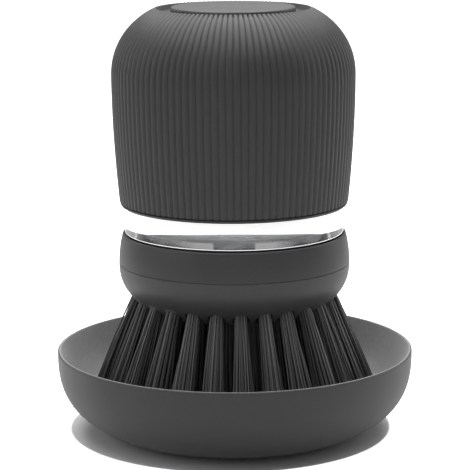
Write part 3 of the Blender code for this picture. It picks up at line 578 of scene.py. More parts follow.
@dataclass(frozen=True)
class ClearPlastic:
    """Clear moulded vessel wall, painted glowing white above a line that dips towards both sides, with
    painted highlights and a painted shadow under the bead.
    """

    name: str
    tint: Colour
    side_line: tuple[float, float]
    front_line: tuple[float, float]
    reach: float
    top: float
    floor: float
    bead: float
    # Painted white that glows in the band under the dome, standing in for the bright backdrop seen through
    # the wall.
    painted_white: Colour = (0.93, 0.93, 0.93)
    # Painted shadow colour for the wall just under the bead.
    gap_shadow: Colour = (0.07, 0.07, 0.07)

    def white(self, zone: Zone) -> tuple[Socket, Socket]:
        """Mask the band under the dome that is painted glowing white, and with it the painted highlight
        line over the bead.

        Args:
            zone: The material's masks.

        Returns:
            The painted white band, and both together.
        """
        shader = zone.shader
        lines = (zone(depth=(0, self.reach, *ends)) for ends in (self.side_line, self.front_line))
        over = shader.between(shader.math("SUBTRACT", zone.axes["z"], shader.most(*lines)), 0, 0.12)
        # Painted glowing white band under the dome, standing in for the backdrop seen through the clear
        # wall.
        painted_white_band = shader.times(over, zone(z=(self.top, self.top + 0.3, 1, 0)))
        # Painted highlight: a thin white line along the bead's edge.
        off = shader.math("ABSOLUTE", shader.math("SUBTRACT", zone.axes["z"], self.bead + 0.13))
        outside = zone(radius=(self.reach, self.reach + 0.3))
        bead = shader.times(outside, shader.between(off, 0.06, 0.1, 1, 0))
        return painted_white_band, shader.most(painted_white_band, bead)

    def pale_and_glints(self, zone: Zone) -> Socket:
        """Mask where the wall is paler and less clear: towards both sides, in patches on the floor, painted
        light round the bore's rim, and painted glints on the front face.

        Args:
            zone: The material's masks.

        Returns:
            All of them together.
        """
        shader = zone.shader
        # Paler noise patches on the floor; round the bore's rim the paleness is painted light over the dark
        # seen down the bore.
        spots = shader.between(shader.noise(11.0, 1.0), 0.4, 0.62, 0, 0.45)
        floor = zone(z=(self.floor + 0.2, self.floor + 0.6, 1, 0))
        floor_and_bore_pale = shader.times(floor, shader.most(spots, zone(radius=(5.4, 6.2, 0.5, 0))))
        # Painted highlights: two glints on the front face of the wall.
        low = zone(across=(4.8, 5.4), z=(self.bead + 1.5, self.bead + 2.0, 1, 0))
        low = shader.times(low, zone(across=(9.5, 16.0, 0.42, 0)))
        high = zone(across=(3.6, 5.0, 0.38, 0), z=(self.bead + 3.0, self.bead + 3.4))
        face = zone(y=(-20.0, -18.0, 1, 0), radius=(self.reach - 0.3, self.reach - 0.1))
        return shader.most(
            zone(depth=(8.0, 16.0, 0.45, 0)), floor_and_bore_pale, shader.times(shader.most(low, high), face)
        )

    def material(self) -> bpy.types.Material:
        """Build the material."""
        shader = Shader(self.name)
        shader.fixed(IOR=1.49)
        zone = Zone(shader)
        painted_white_band, white = self.white(zone)
        pale = shader.most(white, self.pale_and_glints(zone))
        # Painted shadow: the wall just under the bead turns near-black and opaque, standing in for the
        # shade in the gap above the collar's lip.
        buried = zone(radius=(self.reach - 0.2, self.reach - 0.1), z=(self.bead, self.bead + 0.03, 1, 0))
        # Painted white wherever the pale masks reach.
        shade = shader.colours(pale, self.tint, self.painted_white)
        # Painted shadow colour under the bead, laid over the other colours.
        shader.to("Base Color", shader.colours(buried, shade, self.gap_shadow))
        shader.to("Transmission Weight", shader.between(shader.most(pale, buried), 0, 1, 1, 0))
        # Painted glow: the white band and the bead's line give off white light of their own.
        shader.glow(shader.between(white, 0, 1, 0, 0.42))
        scuffs = shader.between(shader.noise(5.0, 4.0), 0.3, 0.7, 0.03, 0.09)
        shader.to("Roughness", shader.math("ADD", scuffs, shader.math("MULTIPLY", painted_white_band, 0.3)))
        shader.to("Normal", shader.bump(shader.noise(7.0), 0.05))
        return shader.material


@dataclass(frozen=True)
class SpringWire:
    """Bright drawn spring wire with fine marks along it."""

    name: str
    dark: Colour = (0.42, 0.42, 0.43)
    light: Colour = (0.62, 0.62, 0.63)

    def material(self) -> bpy.types.Material:
        """Build the material."""
        shader = Shader(self.name)
        shader.fixed(Metallic=1.0)
        marks = shader.noise(0.4, 3.0, 0.2)
        shader.to("Base Color", shader.colours(marks, self.dark, self.light))
        shader.to("Roughness", shader.between(marks, 0.3, 0.7, 0.22, 0.36))
        shader.to("Normal", shader.bump(marks, 0.01))
        return shader.material


Finish = MouldedPlastic | SoftRubber | NylonBristle | ClearPlastic | SpringWire

TRAY_PLASTIC = MouldedPlastic("tray_plastic", (0.022, 0.022, 0.0225), 0.5, Grain.MATT, haze=0.12)
# Lighter copy of the tray plastic, with more sheen, for the bowl's inside and rim top: painted light on the
# inner wall.
TRAY_INSIDE_PAINTED_LIGHT = MouldedPlastic("tray_inside_painted_light", (0.26, 0.26, 0.2625), 0.5, Grain.MATT, haze=0.53)
HEAD_PLASTIC = MouldedPlastic("head_plastic", (0.036, 0.036, 0.0365), 0.45)
COLLAR_PLASTIC = MouldedPlastic("collar_plastic", (0.025, 0.025, 0.0255), 0.45)
DOME_PLASTIC = MouldedPlastic("dome_plastic", (0.023, 0.0225, 0.023), 0.48)
BUTTON_PLASTIC = MouldedPlastic("button_plastic", (0.045, 0.045, 0.0455), 0.42)
LINER_PLASTIC = MouldedPlastic("liner_plastic", (0.62, 0.62, 0.61), 0.35, mottle=0.03)
PLUNGER_PLASTIC = MouldedPlastic("plunger_plastic", (0.6, 0.6, 0.6), 0.35, mottle=0.03)
NOZZLE_PLASTIC = MouldedPlastic("nozzle_plastic", (0.3, 0.3, 0.31), 0.4)
RETAINER_PLASTIC = MouldedPlastic("retainer_plastic", (0.25, 0.25, 0.26), 0.4)
RING_RUBBER = SoftRubber("grip_ring_rubber", (0.03, 0.03, 0.03))
SEAL_RUBBER = SoftRubber("seal_rubber", (0.45, 0.45, 0.44))
PISTON_RUBBER = SoftRubber("piston_seal_rubber", (0.03, 0.03, 0.03), 0.5)
VALVE_SILICONE = SoftRubber("valve_silicone", (0.62, 0.62, 0.61), 0.5)
BRISTLE_NYLON = NylonBristle("bristle_nylon", (0.034, 0.034, 0.035), (0.14, 0.14, 0.141))
CLEAR_PLASTIC = ClearPlastic(
    "clear_plastic", (0.86, 0.87, 0.88), side_line=(53.6, 55.5), front_line=(51.45, 56.84),
    reach=27.25, top=61.7, floor=50.75, bead=52.9,
)
SPRING_STEEL = SpringWire("spring_steel")


class SubAssembly:
    """A group of pieces that hang on the model's bodies."""

    materials: dict[str, bpy.types.Material] = {}

    def put(self, bm: Shell, name: str, body: str, finish: Finish, nodes: Sequence[str] = (),
            crease: float = 35.0) -> bpy.types.Object:
        """Turn a finished mesh into a piece of the scene.

        Args:
            bm: The mesh, which is freed.
            name: The piece's name.
            body: The body that it moves with.
            finish: Its finish, which names its material slot.
            nodes: Plain solids that it stands for.
            crease: Degrees past which an edge stays sharp.

        Returns:
            The piece.
        """
        mesh = as_mesh(bm, name)
        mesh.shade_smooth()
        mesh.set_sharp_from_angle(angle=math.radians(crease))
        piece = linked(name, mesh)
        if finish.name not in self.materials:
            self.materials[finish.name] = finish.material()
        mesh.materials.append(self.materials[finish.name])
        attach(piece, body)
        if nodes:
            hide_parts(*nodes)
        LOG.info("%s: %d faces on %s", name, len(mesh.polygons), body)
        return piece


# ---- drip tray


@dataclass
class DripTray(SubAssembly):
    """Shallow bowl with a full rounded side, on a soft ring."""

    radius: float = 46.0
    height: float = 21.9
    foot: float = 0.3
    foot_radius: float = 27.0
    wall: float = 2.2
    rim_wall: float = 0.8
    thinned_from: float = 9.0
    roundness: float = 2.86
    fullness: float = 1.56
    floor: float = 3.4
    recess: float = 0.9
    ring_radius: float = 24.5
    ring_width: float = 2.6
    ring_height: float = 1.5

    def __post_init__(self) -> None:
        """Work out the inner side once."""
        self.side = self.inner_side()

    def outer(self, height: float) -> float:
        """Radius of the outer side at a height over the foot."""
        share = 1 - (1 - height / (self.height - self.foot)) ** self.roundness
        return self.foot_radius + (self.radius - self.foot_radius) * share ** (1 / self.fullness)

    def inner_side(self, steps: int = 30, nudge: float = 0.02) -> list[tuple[float, float]]:
        """Find points up the inner side, one wall in from the outer side.

        Args:
            steps: Spans between the points to try.
            nudge: How far up and down the slope is taken.

        Returns:
            Points of (radius, height) from the flat floor up.
        """
        found = []
        for step in range(steps + 1):
            height = (self.height - self.foot) * (0.02 + 0.95 * step / steps)
            slope = (self.outer(height + nudge) - self.outer(height - nudge)) / (2 * nudge)
            length = math.hypot(1.0, slope)
            level = self.foot + height + self.wall * slope / length
            if level > self.floor:
                found.append((self.outer(height) - self.wall / length, level))
        (r0, z0), (r1, z1) = found[:2]
        return [(r0 - (z0 - self.floor) / (z1 - z0) * (r1 - r0), self.floor), *found]

    def surface(self, radius: float) -> float:
        """Find the height of the inside.

        Args:
            radius: Distance from the axis.

        Returns:
            The height over the counter.
        """
        if radius <= self.side[0][0]:
            return self.floor
        for (r0, z0), (r1, z1) in zip(self.side, self.side[1:]):
            if radius <= r1:
                return z0 + (z1 - z0) * (radius - r0) / (r1 - r0)
        return self.side[-1][1]

    def thinned(self) -> list[tuple[float, float]]:
        """Find the inner side again, drawn outward towards the thin rim."""
        low, less = self.thinned_from, self.wall - self.rim_wall
        return [(r + less * max(0.0, (z - low) / (self.height - low)) ** 2, z) for r, z in self.side]

    def bowl(self) -> Shell:
        """Build the bowl with its round rim and the ring's groove."""
        half = self.ring_width / 2 + GAP
        groove, groove_top = self.ring_radius + half, self.ring_height + GAP
        inner_groove = self.ring_radius - half
        edge = inner_groove - 1.4
        side = self.height - self.foot
        shares = [0.96 - 0.05 * step for step in range(19)] + [0.035, 0.015, 0.004]
        outline = [
            (0.0, self.floor), *self.thinned(),
            (self.radius - self.rim_wall, self.height, 0.12), (self.radius, self.height, 0.38),
            *((self.outer(side * share), self.foot + side * share) for share in shares),
            (self.foot_radius, self.foot, 0.1), (groove, self.foot, 0.15), (groove, groove_top),
            (inner_groove, groove_top), (inner_groove, self.foot, 0.15), (edge, self.foot, 0.3),
            (edge - self.recess, self.foot + self.recess, 0.3), (0.0, self.foot + self.recess),
        ]
        return spun(outline, closed=False, steps=256)

    def ring(self) -> Shell:
        """Build the soft ring that the tray stands on."""
        outer, inner = (self.ring_radius + way * self.ring_width / 2 for way in (1, -1))
        return washer(outer, inner, self.ring_height, 0.0, (0.2, 0.45, 0.45, 0.2), 192)

    def line(self, bowl: bpy.types.Object) -> None:
        """Give the bowl's inside and rim top a lighter copy of its plastic, painted light on the inner
        wall.

        Args:
            bowl: The bowl, already dressed for its outside.
        """
        # Painted light: the inner faces and the rim top take the lighter copy.
        bowl.data.materials.append(TRAY_INSIDE_PAINTED_LIGHT.material())
        for face in bowl.data.polygons:
            height = face.center.z / MM
            radius = face.center.xy.length / MM
            inner = radius < self.outer(min(height, self.height - 0.3) - self.foot) - self.wall / 2
            on_rim = height > self.height - 3.4 and radius < self.radius - 0.45
            if on_rim or (height > self.floor - 0.2 and inner):
                face.material_index = 1

    def build(self) -> None:
        """Build and dress the tray and its ring."""
        bowl = self.put(self.bowl(), "tray_bowl", "tray", TRAY_PLASTIC, ["drip_tray"])
        self.line(bowl)
        self.put(self.ring(), "tray_foot_ring", "tray", RING_RUBBER, ["anti_slip_ring"])


# ---- brush head


@dataclass(frozen=True)
class Bayonet:
    """The lugs that hold the head under the collar, with their angles in degrees."""

    lugs: int = 3
    first: float = 3.0
    length: float = 30.0
    twist: float = 40.0
    stop: float = 4.0
    boss: float = 20.25
    play: float = 0.4
    top: float = 48.15

    def starts(self) -> list[float]:
        """List where each lug starts when it is locked, in radians."""
        return [math.radians(self.first + 360 / self.lugs * number) for number in range(self.lugs)]


BAYONET = Bayonet()


@dataclass(frozen=True)
class Row:
    """One ring of tufts: how many, where they are rooted and how far they lean out."""

    name: str
    count: int
    radius: float
    height: float
    lean: float
    offset: float = 0.0
    replaces: bool = True


@dataclass(frozen=True)
class Strand:
    """How a tuft's filaments are made, and how far they differ from each other."""

    count: int = 64
    radius: float = 0.2
    taper: float = 0.15
    fan: float = 3.1
    wander: float = 0.5
    stray_fan: float = 1.9
    strays: float = 0.06
    turn: float = 0.2
    trim: float = 0.5
    bow: float = 0.16
    buried: float = 2.0
    shades: float = 1.6


@dataclass
class BrushHead(SubAssembly):
    """Tuft block with its lower shell, bayonet boss and bristles."""

    tray: DripTray
    strand: Strand = Strand()
    radius: float = 29.72
    plate_radius: float = 23.52
    plate: float = 33.25
    plate_top: float = 40.85
    top: float = 44.55
    rounding: float = 6.2
    wall: float = 2.2
    bore: float = 8.7
    boss_bore: float = 18.45
    lug_reach: float = 2.4
    lug_root: float = 0.9
    lug_bottom: float = 46.65
    tuft_radius: float = 1.75
    hole_radius: float = 2.05
    hole_depth: float = 5.3
    hole_mouth: float = 0.12
    tray_gap: float = 0.4
    start: float = -86.5
    rows: tuple[Row, ...] = (
        Row("outer", 26, 25.095, 34.825, 20.0),
        Row("middle", 16, 18.195, 33.25, 12.0, 0.5),
        Row("inner", 12, 11.3, 33.25, 6.0, 0.0, False),
    )

    def places(self) -> list[tuple[str, bool, Matrix]]:
        """List each tuft's name, whether the model has it and its place, whose -Z runs down it."""
        found = []
        for row in self.rows:
            for number in range(row.count):
                angle = math.radians(self.start) + 2 * math.pi * (number + row.offset) / row.count
                place = (
                    Matrix.Rotation(angle, 4, "Z")
                    @ Matrix.Translation((row.radius * MM, 0.0, row.height * MM))
                    @ Matrix.Rotation(-math.radians(row.lean), 4, "Y")
                )
                found.append((f"tuft_{row.name}_{number + 1:02d}", row.replaces, place))
        return found

    def block(self) -> Shell:
        """Build the block with its tuft holes and bayonet lugs."""
        depth = self.top - self.plate
        curve = (
            (self.radius, self.top - 0.1), (self.radius, self.top - 0.49 * depth),
            (self.radius - 0.41 * self.rounding, self.plate + 0.32 * depth),
            (self.plate_radius, self.plate),
        )
        inside, boss = self.radius - self.wall, BAYONET.boss
        rim, boss_top = self.top + 0.24, BAYONET.top + 0.25
        outline = [
            (self.radius, rim, 0.12), *cubic(curve, 24), (self.bore, self.plate, 0.3),
            (self.bore, self.plate_top, 0.3), (self.boss_bore, self.plate_top, 0.3),
            (self.boss_bore, boss_top, 0.3), (boss, boss_top, 0.3), (boss, self.plate_top, 0.3),
            (inside - self.wall / 4, self.plate_top, 0.3), (inside, rim, 0.2),
        ]
        lug = oblong(boss - self.lug_root, boss + self.lug_reach, self.lug_bottom, BAYONET.top)
        length = math.radians(BAYONET.length)
        tools = [(swept(lug, start, (length, 0.0, 12)), Join.WELD) for start in BAYONET.starts()]
        hole = self.hole_radius, self.hole_depth
        holes = [drill(*hole, place, self.hole_mouth) for *_, place in self.places()]
        tools.append((together(holes), Join.CUT))
        return carved(spun(outline), tools)

    def tip(self, root: Vector, along: Vector) -> float:
        """Find how far a line runs from a root before it comes near the tray.

        Args:
            root: Where the line starts, in metres.
            along: Its direction.

        Returns:
            The distance in metres.
        """
        low, high = 0.0, 60 * MM
        for _ in range(30):
            middle = (low + high) / 2
            point = (root + middle * along) / MM
            if point.z > self.tray.surface(math.hypot(point.x, point.y)) + self.tray_gap:
                low = middle
            else:
                high = middle
        return low

    def tuft(self, place: Matrix, filament: bpy.types.Mesh, chance: random.Random) -> Shell:
        """Build one tuft of separate filaments that fan out below the block.

        Args:
            place: The tuft's place.
            filament: A straight filament of unit length and radius, which is copied.
            chance: Seeded source of small differences.

        Returns:
            The tuft's mesh, with each filament's shade in an attribute.
        """
        strand = self.strand
        bm = bmesh.new()
        shade = bm.verts.layers.float.new("shade")
        turn = place.to_3x3()
        for number in range(strand.count):
            spread = math.sqrt((number + 0.5) / strand.count)
            angle = number * math.pi * (3 - math.sqrt(5)) + chance.uniform(-strand.turn, strand.turn)
            aside = Vector((math.cos(angle), math.sin(angle), 0.0))
            stray = strand.stray_fan if chance.random() < strand.strays else 1.0
            lean = strand.fan * stray * spread + chance.uniform(-strand.wander, strand.wander)
            along = turn @ Vector((*(math.tan(math.radians(lean)) * aside.xy), -1.0)).normalized()
            root = place @ (aside * (self.tuft_radius - strand.radius) * spread * MM)
            length = self.tip(root, along) - chance.uniform(0.0, strand.trim) * MM
            root -= along * strand.buried * MM
            length += strand.buried * MM
            bow = turn @ Vector((chance.gauss(0, strand.bow), chance.gauss(0, strand.bow), 0.0)) * MM
            tone = chance.random() ** strand.shades
            first = len(bm.verts)
            bm.from_mesh(filament)
            bm.verts.ensure_lookup_table()
            for vert in bm.verts[first:]:
                down = -vert.co.z
                side = turn @ Vector((vert.co.x, vert.co.y, 0.0))
                thick = strand.radius * (1.0 - strand.taper * down) * MM
                vert.co = root + along * length * down + bow * math.sin(math.pi * down) + side * thick
                vert[shade] = tone
        return bm

    def build(self) -> None:
        """Build and dress the block and every tuft."""
        self.put(self.block(), "head_block", "head", HEAD_PLASTIC, ["brush_head"])
        spans, sides = 5, 5
        filament = as_mesh(bar([(-step / spans, 1.0) for step in range(spans + 1)], sides), "filament")
        for number, (name, in_model, place) in enumerate(self.places()):
            bristles = self.tuft(place, filament, random.Random(number))
            piece = name.replace("tuft", "bristles")
            self.put(bristles, piece, "head", BRISTLE_NYLON, [name] if in_model else [], 80.0)
        bpy.data.meshes.remove(filament)


# ---- reservoir and collar


@dataclass(frozen=True)
class Thread:
    """Screw thread between the neck and the liner."""

    lead: float = 6.0
    width: float = 2.2
    turns: float = 1.1
    steps: int = 105

    def ridge(self, root: float, crest: float, middle: float) -> Shell:
        """Build the thread's ridge.

        Args:
            root: Radius at which it is rooted in its wall.
            crest: Radius of its crest.
            middle: Height at which the ridge starts.

        Returns:
            The ridge as a closed bar.
        """
        wide, narrow = self.width / 2, 0.3 * self.width
        section = (
            (root, middle - wide), (crest, middle - narrow), (crest, middle + narrow), (root, middle + wide)
        )
        return swept(section, 0.0, (2 * math.pi * self.turns, self.lead * self.turns, self.steps))


THREAD = Thread()


@dataclass
class Vessel(SubAssembly):
    """Collar, clear reservoir and the outlet under it."""

    collar: float = 44.85
    collar_top: float = 52.6
    collar_radius: float = 29.72
    collar_bulge: float = 1.07
    collar_bore: float = 27.65
    collar_lip: float = 0.42
    flange_top: float = 46.35
    flange_bore: float = 20.65
    lug_reach: float = 22.65
    radius: float = 27.25
    inner: float = 25.25
    floor: float = 48.75
    neck: float = 65.7
    neck_top: float = 79.4
    neck_radius: float = 22.65
    neck_bore: float = 20.25
    thread_height: float = 71.3
    shoulder: float = 62.7
    spout: float = 6.4
    spout_bore: float = 4.6
    spout_end: float = 38.15
    nozzle: float = 8.3
    nozzle_bore: float = 6.7
    nozzle_foot: float = 31.7
    nozzle_top: float = 45.15
    shelf: float = 34.95
    shelf_top: float = 36.55
    shelf_bore: float = 3.0
    slit: tuple[float, float, float] = (4.0, 0.3, 3.6)

    def ring(self) -> Shell:
        """Build the collar with its flange, notches and stops."""
        radius, bulge, steps = self.collar_radius, self.collar_bulge, 14
        depth = self.collar_top - self.collar
        side = [
            (radius - bulge * (step / steps) ** 2, self.collar + depth * step / steps)
            for step in range(steps - 1, 0, -1)
        ]
        lip = radius - bulge - self.collar_lip
        lip_top, lip_low = self.collar_top - 0.1, self.collar_top - 0.9
        outline = [
            (radius - bulge, lip_top, 0.34), *side, (radius, self.collar, 0.1),
            (self.flange_bore, self.collar, 0.2), (self.flange_bore, self.flange_top, 0.2),
            (self.collar_bore, self.flange_top), (self.collar_bore, lip_low), (lip, lip_low),
            (lip, lip_top, 0.06),
        ]
        inner, reach = self.flange_bore, self.lug_reach
        notch = oblong(inner - 0.5, reach + 0.4, self.collar - 0.5, self.flange_top + 0.5)
        block = oblong(inner + 0.4, reach, self.flange_top - 0.75, BAYONET.top)
        play = BAYONET.play / BAYONET.boss
        twist, length, stop = map(math.radians, (BAYONET.twist, BAYONET.length, BAYONET.stop))
        tools = []
        for start in BAYONET.starts():
            tools.append((swept(notch, start + twist - play, (length + 2 * play, 0.0, 12)), Join.CUT))
            tools.append((swept(block, start - 2 * play - stop, (stop, 0.0, 3)), Join.WELD))
        return carved(spun(outline), tools)

    def body(self) -> Shell:
        """Build the clear vessel with its bead, threaded neck and spout."""
        bead, foot = self.collar_top + GAP, BAYONET.top - 1.5
        floor_top, skirt = self.floor + 2.0, self.radius - 1.7
        outline = [
            (self.neck_radius, self.neck_top, 0.4), (self.neck_radius, self.neck, 0.8),
            (self.radius, self.shoulder, 1.2), (self.radius, bead + 2.8, 0.6),
            (self.radius + 0.63, bead + 0.7, 0.3), (self.radius + 0.9, bead, 0.15), (self.radius, bead),
            (self.radius, foot, 0.2), (skirt, foot, 0.1), (skirt, self.floor),
            (self.spout, self.floor, 0.4), (self.spout, self.spout_end, 0.3),
            (self.spout_bore, self.spout_end, 0.3), (self.spout_bore, floor_top, 0.6),
            (self.inner, floor_top, 1.6), (self.inner, self.shoulder - 0.6, 1.2),
            (self.neck_bore, self.neck - 0.6, 0.8), (self.neck_bore, self.neck_top, 0.4),
        ]
        ridge = THREAD.ridge(self.neck_radius - 0.72, self.neck_radius + 1.2, self.thread_height)
        return carved(spun(outline), [(ridge, Join.WELD)])

    def valve(self, snug: float) -> Shell:
        """Build the slit valve under the nozzle's shelf.

        Args:
            snug: Its outer radius.

        Returns:
            The valve as a closed shell.
        """
        top = self.shelf - GAP
        flange, drop = top - 1.3, top - 2.5
        disc = spun([
            (0.0, drop + 0.7), (2.03, drop + 1.12, 0.5), (2.9, flange + 0.7, 0.2), (2.9, top, 0.2),
            (snug, top, 0.2), (snug, flange, 0.2), (3.6, flange, 0.2), (2.7, drop + 0.42, 0.6), (0.0, drop),
        ], closed=False, steps=96)
        slit = bmesh.new()
        bmesh.ops.create_cube(slit, size=1.0)
        bmesh.ops.scale(slit, vec=Vector(self.slit) * MM, verts=slit.verts)
        bmesh.ops.translate(slit, vec=(0, 0, drop * MM), verts=slit.verts)
        return carved(disc, [(slit, Join.CUT)])

    def outlet(self) -> list[tuple[str, Shell, Finish]]:
        """Build the nozzle, its gasket, the slit valve and its retainer, each with its node's name."""
        seat, snug = self.nozzle_bore - GAP, self.nozzle_bore - 2 * GAP
        nozzle = spun([
            (self.nozzle, self.nozzle_top, 0.4), (self.nozzle, self.nozzle_foot, 0.6),
            (seat, self.nozzle_foot, 0.1), (seat, self.shelf), (self.shelf_bore, self.shelf, 0.2),
            (self.shelf_bore, self.shelf_top, 0.2), (self.nozzle_bore, self.shelf_top),
            (self.nozzle_bore, self.nozzle_top, 0.4),
        ], steps=96)
        high, low = self.spout_end - GAP, self.shelf_top + GAP
        gasket = washer(self.spout, self.spout_bore, high, low, [0.2] * 4, 96)
        flange = self.shelf - GAP - 1.3
        top, foot = flange - GAP, flange - GAP - 1.2
        retainer = washer(snug, 4.0, top, foot, (0.15, 0.3, 0.3, 0.15), 96)
        return [
            ("outlet_nozzle", nozzle, NOZZLE_PLASTIC),
            ("nozzle_gasket", gasket, SEAL_RUBBER),
            ("slit_valve", self.valve(snug), VALVE_SILICONE),
            ("valve_retainer", retainer, RETAINER_PLASTIC),
        ]

    def build(self) -> None:
        """Build and dress the collar, the reservoir and the outlet."""
        self.put(self.ring(), "collar_band", "vessel", COLLAR_PLASTIC, ["collar_ring"])
        self.put(self.body(), "clear_vessel", "vessel", CLEAR_PLASTIC, ["reservoir"])
        for node, bm, finish in self.outlet():
            self.put(bm, f"{node}_fine", "vessel", finish, [node])


# ---- screw cap


@dataclass
class ScrewCap(SubAssembly):
    """Ribbed dome round the threaded liner, with the pump's cylinder, spring and air valve."""

    foot: float = 59.8
    top: float = 109.95
    shoulder: float = 93.1
    foot_radius: float = 29.25
    bulge: float = 1.82
    swell: float = 1.9
    wall: float = 1.5
    top_wall: float = 2.0
    ribs: int = 104
    rib_depth: float = 0.34
    top_rib_depth: float = 0.26
    tooth_depth: float = 0.3
    rib_steps: int = 10
    lip: float = 0.7
    rim: float = 19.75
    dish: float = 19.5
    dish_depth: float = 1.6
    opening: float = 16.15
    sleeve: float = 17.55
    sleeve_foot: float = 98.25
    deck: float = 81.2
    deck_top: float = 83.2
    port: float = 2.0
    liner: float = 26.25
    liner_bore: float = 24.25
    skirt: float = 66.9
    thread_height: float = 68.3
    thread_crest: float = 23.05
    seal: tuple[float, float, float] = (23.25, 20.25, 1.2)
    cylinder: float = 9.9
    cylinder_bore: float = 8.5
    cylinder_top: float = 96.95
    spring: float = 11.1
    wire: float = 0.6
    spring_top: float = 107.65
    closed_pitch: float = 1.75
    open_turns: int = 5
    valve_at: float = 16.331
    brim: float = 3.419

    def side(self, height: float) -> float:
        """Radius of the outer side, over its ribs, from the foot to the shoulder."""
        share = (height - self.foot) / (self.shoulder - self.foot)
        return self.foot_radius + self.bulge * (1 - (1 - share) ** self.swell)

    def bore(self, height: float) -> float:
        """Radius of the inside from the foot to the shoulder."""
        return self.side(height) - self.wall - self.rib_depth / 2

    def over_shoulder(self, inset: float, steps: int) -> list[tuple[float, float]]:
        """Read points up the rounded shoulder.

        Args:
            inset: How far the curve is moved in.
            steps: Spans along it.

        Returns:
            Points from the side to the rim.
        """
        side, top = self.foot_radius + self.bulge - inset, self.top - inset
        rise = top - self.shoulder
        ends = (
            (side, self.shoulder), (side, self.shoulder + 0.597 * rise),
            (self.rim + 0.338 * (side - self.rim), top - 0.092 * rise), (self.rim, top),
        )
        return cubic(ends, steps)

    def outline(self) -> Points:
        """List the dome's corners before its ribs, from the foot over the dish and back down inside."""
        low, high = self.deck_top + GAP, self.deck_top + GAP + 1.5
        roof, dish_floor = self.top - self.top_wall - self.dish_depth, self.top - self.dish_depth
        start = self.foot + self.lip
        heights = [start + 0.25, start + 0.4, start + 0.8]
        heights += [start + 1.5 + (self.shoulder - start - 1.5) * step / 12 for step in range(12)]
        return [
            (self.foot_radius - 0.35, self.foot, 0.15), (self.foot_radius - 0.1, self.foot + 0.35, 0.2),
            (self.foot_radius - 0.1, start - 0.05, 0.1), (self.foot_radius - 0.45, start + 0.05),
            *((self.side(height), height) for height in heights), *self.over_shoulder(0.0, 20),
            (self.dish, self.top - 0.1, 0.1), (self.dish - self.dish_depth / 2, dish_floor, 0.5),
            (self.opening, dish_floor, 0.3), (self.opening, self.sleeve_foot, 0.2),
            (self.sleeve, self.sleeve_foot, 0.2), (self.sleeve, roof),
            *((r, min(z, roof)) for r, z in self.over_shoulder(self.top_wall, 12)[-2::-1]),
            (self.bore(high), high), (self.bore(high) - 1.2, high, 0.2),
            (self.bore(low) - 1.2, low, 0.2), (self.bore(low), low),
            (self.foot_radius - self.wall, self.foot + 2.4, 0.5),
            (self.foot_radius - self.wall, self.foot, 0.2),
        ]

    def skin(self) -> Shell:
        """Build the ribbed dome with its dish, sleeve and inside."""
        bm = spun(self.outline(), steps=self.ribs * self.rib_steps)
        bm.normal_update()
        moves = []
        for vert in bm.verts:
            radius, height = vert.co.xy.length / MM, vert.co.z / MM
            wall = self.bore(min(height, self.shoulder))
            on_side = radius > wall + 0.9 and height > self.foot + self.lip + 0.15
            over_top = height > self.shoulder and radius > self.dish - 0.05 and vert.normal.z > -0.1
            if not (on_side or over_top) or vert.normal.xy.dot(vert.co.xy) < -0.1 * vert.co.xy.length:
                continue
            across = math.atan2(vert.co.y, vert.co.x) / (2 * math.pi) * self.ribs % 1.0
            share = max(0.0, (height - self.shoulder) / (self.top - self.shoulder))
            depth = self.rib_depth + share * (self.top_rib_depth - self.rib_depth)
            depth += self.tooth_depth * min(1.0, max(0.0, self.rim + 1.2 - radius))
            moves.append((vert, -depth * abs(2.0 * across - 1.0) ** 2.0 * MM * vert.normal))
        for vert, move in moves:
            vert.co += move
        return bm

    def inner_cap(self) -> Shell:
        """Build the liner: skirt with its thread, deck with its valve seat, and the pump's cylinder."""
        flange = self.bore(self.deck) - GAP
        outline = [
            (self.cylinder, self.cylinder_top, 0.4), (self.cylinder, self.deck_top, 0.4),
            (flange, self.deck_top, 0.2), (flange, self.deck, 0.2), (self.liner, self.deck, 0.3),
            (self.liner, self.skirt, 0.4), (self.liner_bore, self.skirt, 0.4),
            (self.liner_bore, self.deck, 0.4), (self.port, self.deck, 0.2),
            (self.port, self.deck_top, 0.2), (self.cylinder_bore, self.deck_top, 0.3),
            (self.cylinder_bore, self.cylinder_top, 0.3),
        ]
        ridge = THREAD.ridge(self.liner_bore + 0.6, self.thread_crest, self.thread_height)
        tools = [(ridge, Join.WELD)]
        middle = (self.deck + self.deck_top) / 2
        for aside, radius in ((0.0, 1.6), (2.51, 0.637), (-2.51, 0.637)):
            place = Matrix.Translation(Vector((self.valve_at, aside, middle)) * MM)
            tools.append((drill(radius, 2.0, place), Join.CUT))
        return carved(spun(outline), tools)

    def gasket(self) -> Shell:
        """Build the flat ring between the neck and the deck."""
        outer, inner, thick = self.seal
        top = self.deck - GAP
        return washer(outer, inner, top, top - thick, [0.25] * 4, 160)

    def umbrella(self) -> Shell:
        """Build the umbrella valve, pulled through the deck."""
        low, bulb = self.deck - GAP, self.deck_top + GAP
        bm = spun([
            (0.0, bulb + 1.8), (0.95, bulb + 1.8, 0.3), (1.9, bulb, 0.3), (1.3, bulb), (1.3, low),
            (self.brim, low, 0.08), (self.brim, low - 0.25, 0.08), (0.0, low - 1.0),
        ], closed=False, steps=64)
        bmesh.ops.translate(bm, verts=bm.verts, vec=(self.valve_at * MM, 0, 0))
        return bm

    def coil(self) -> Shell:
        """Build the return spring: a closed turn at each end and the open turns between."""
        low = self.deck_top + GAP + self.wire
        open_rise = self.spring_top - self.wire - low - 2 * self.closed_pitch
        angles = [math.pi * step / 6 for step in range(12)]
        section = [(self.spring + self.wire * math.sin(a), low + self.wire * math.cos(a)) for a in angles]
        closed, turns = (2 * math.pi, self.closed_pitch, 48), self.open_turns
        return swept(section, 0.0, closed, (2 * math.pi * turns, open_rise, 48 * turns), closed)

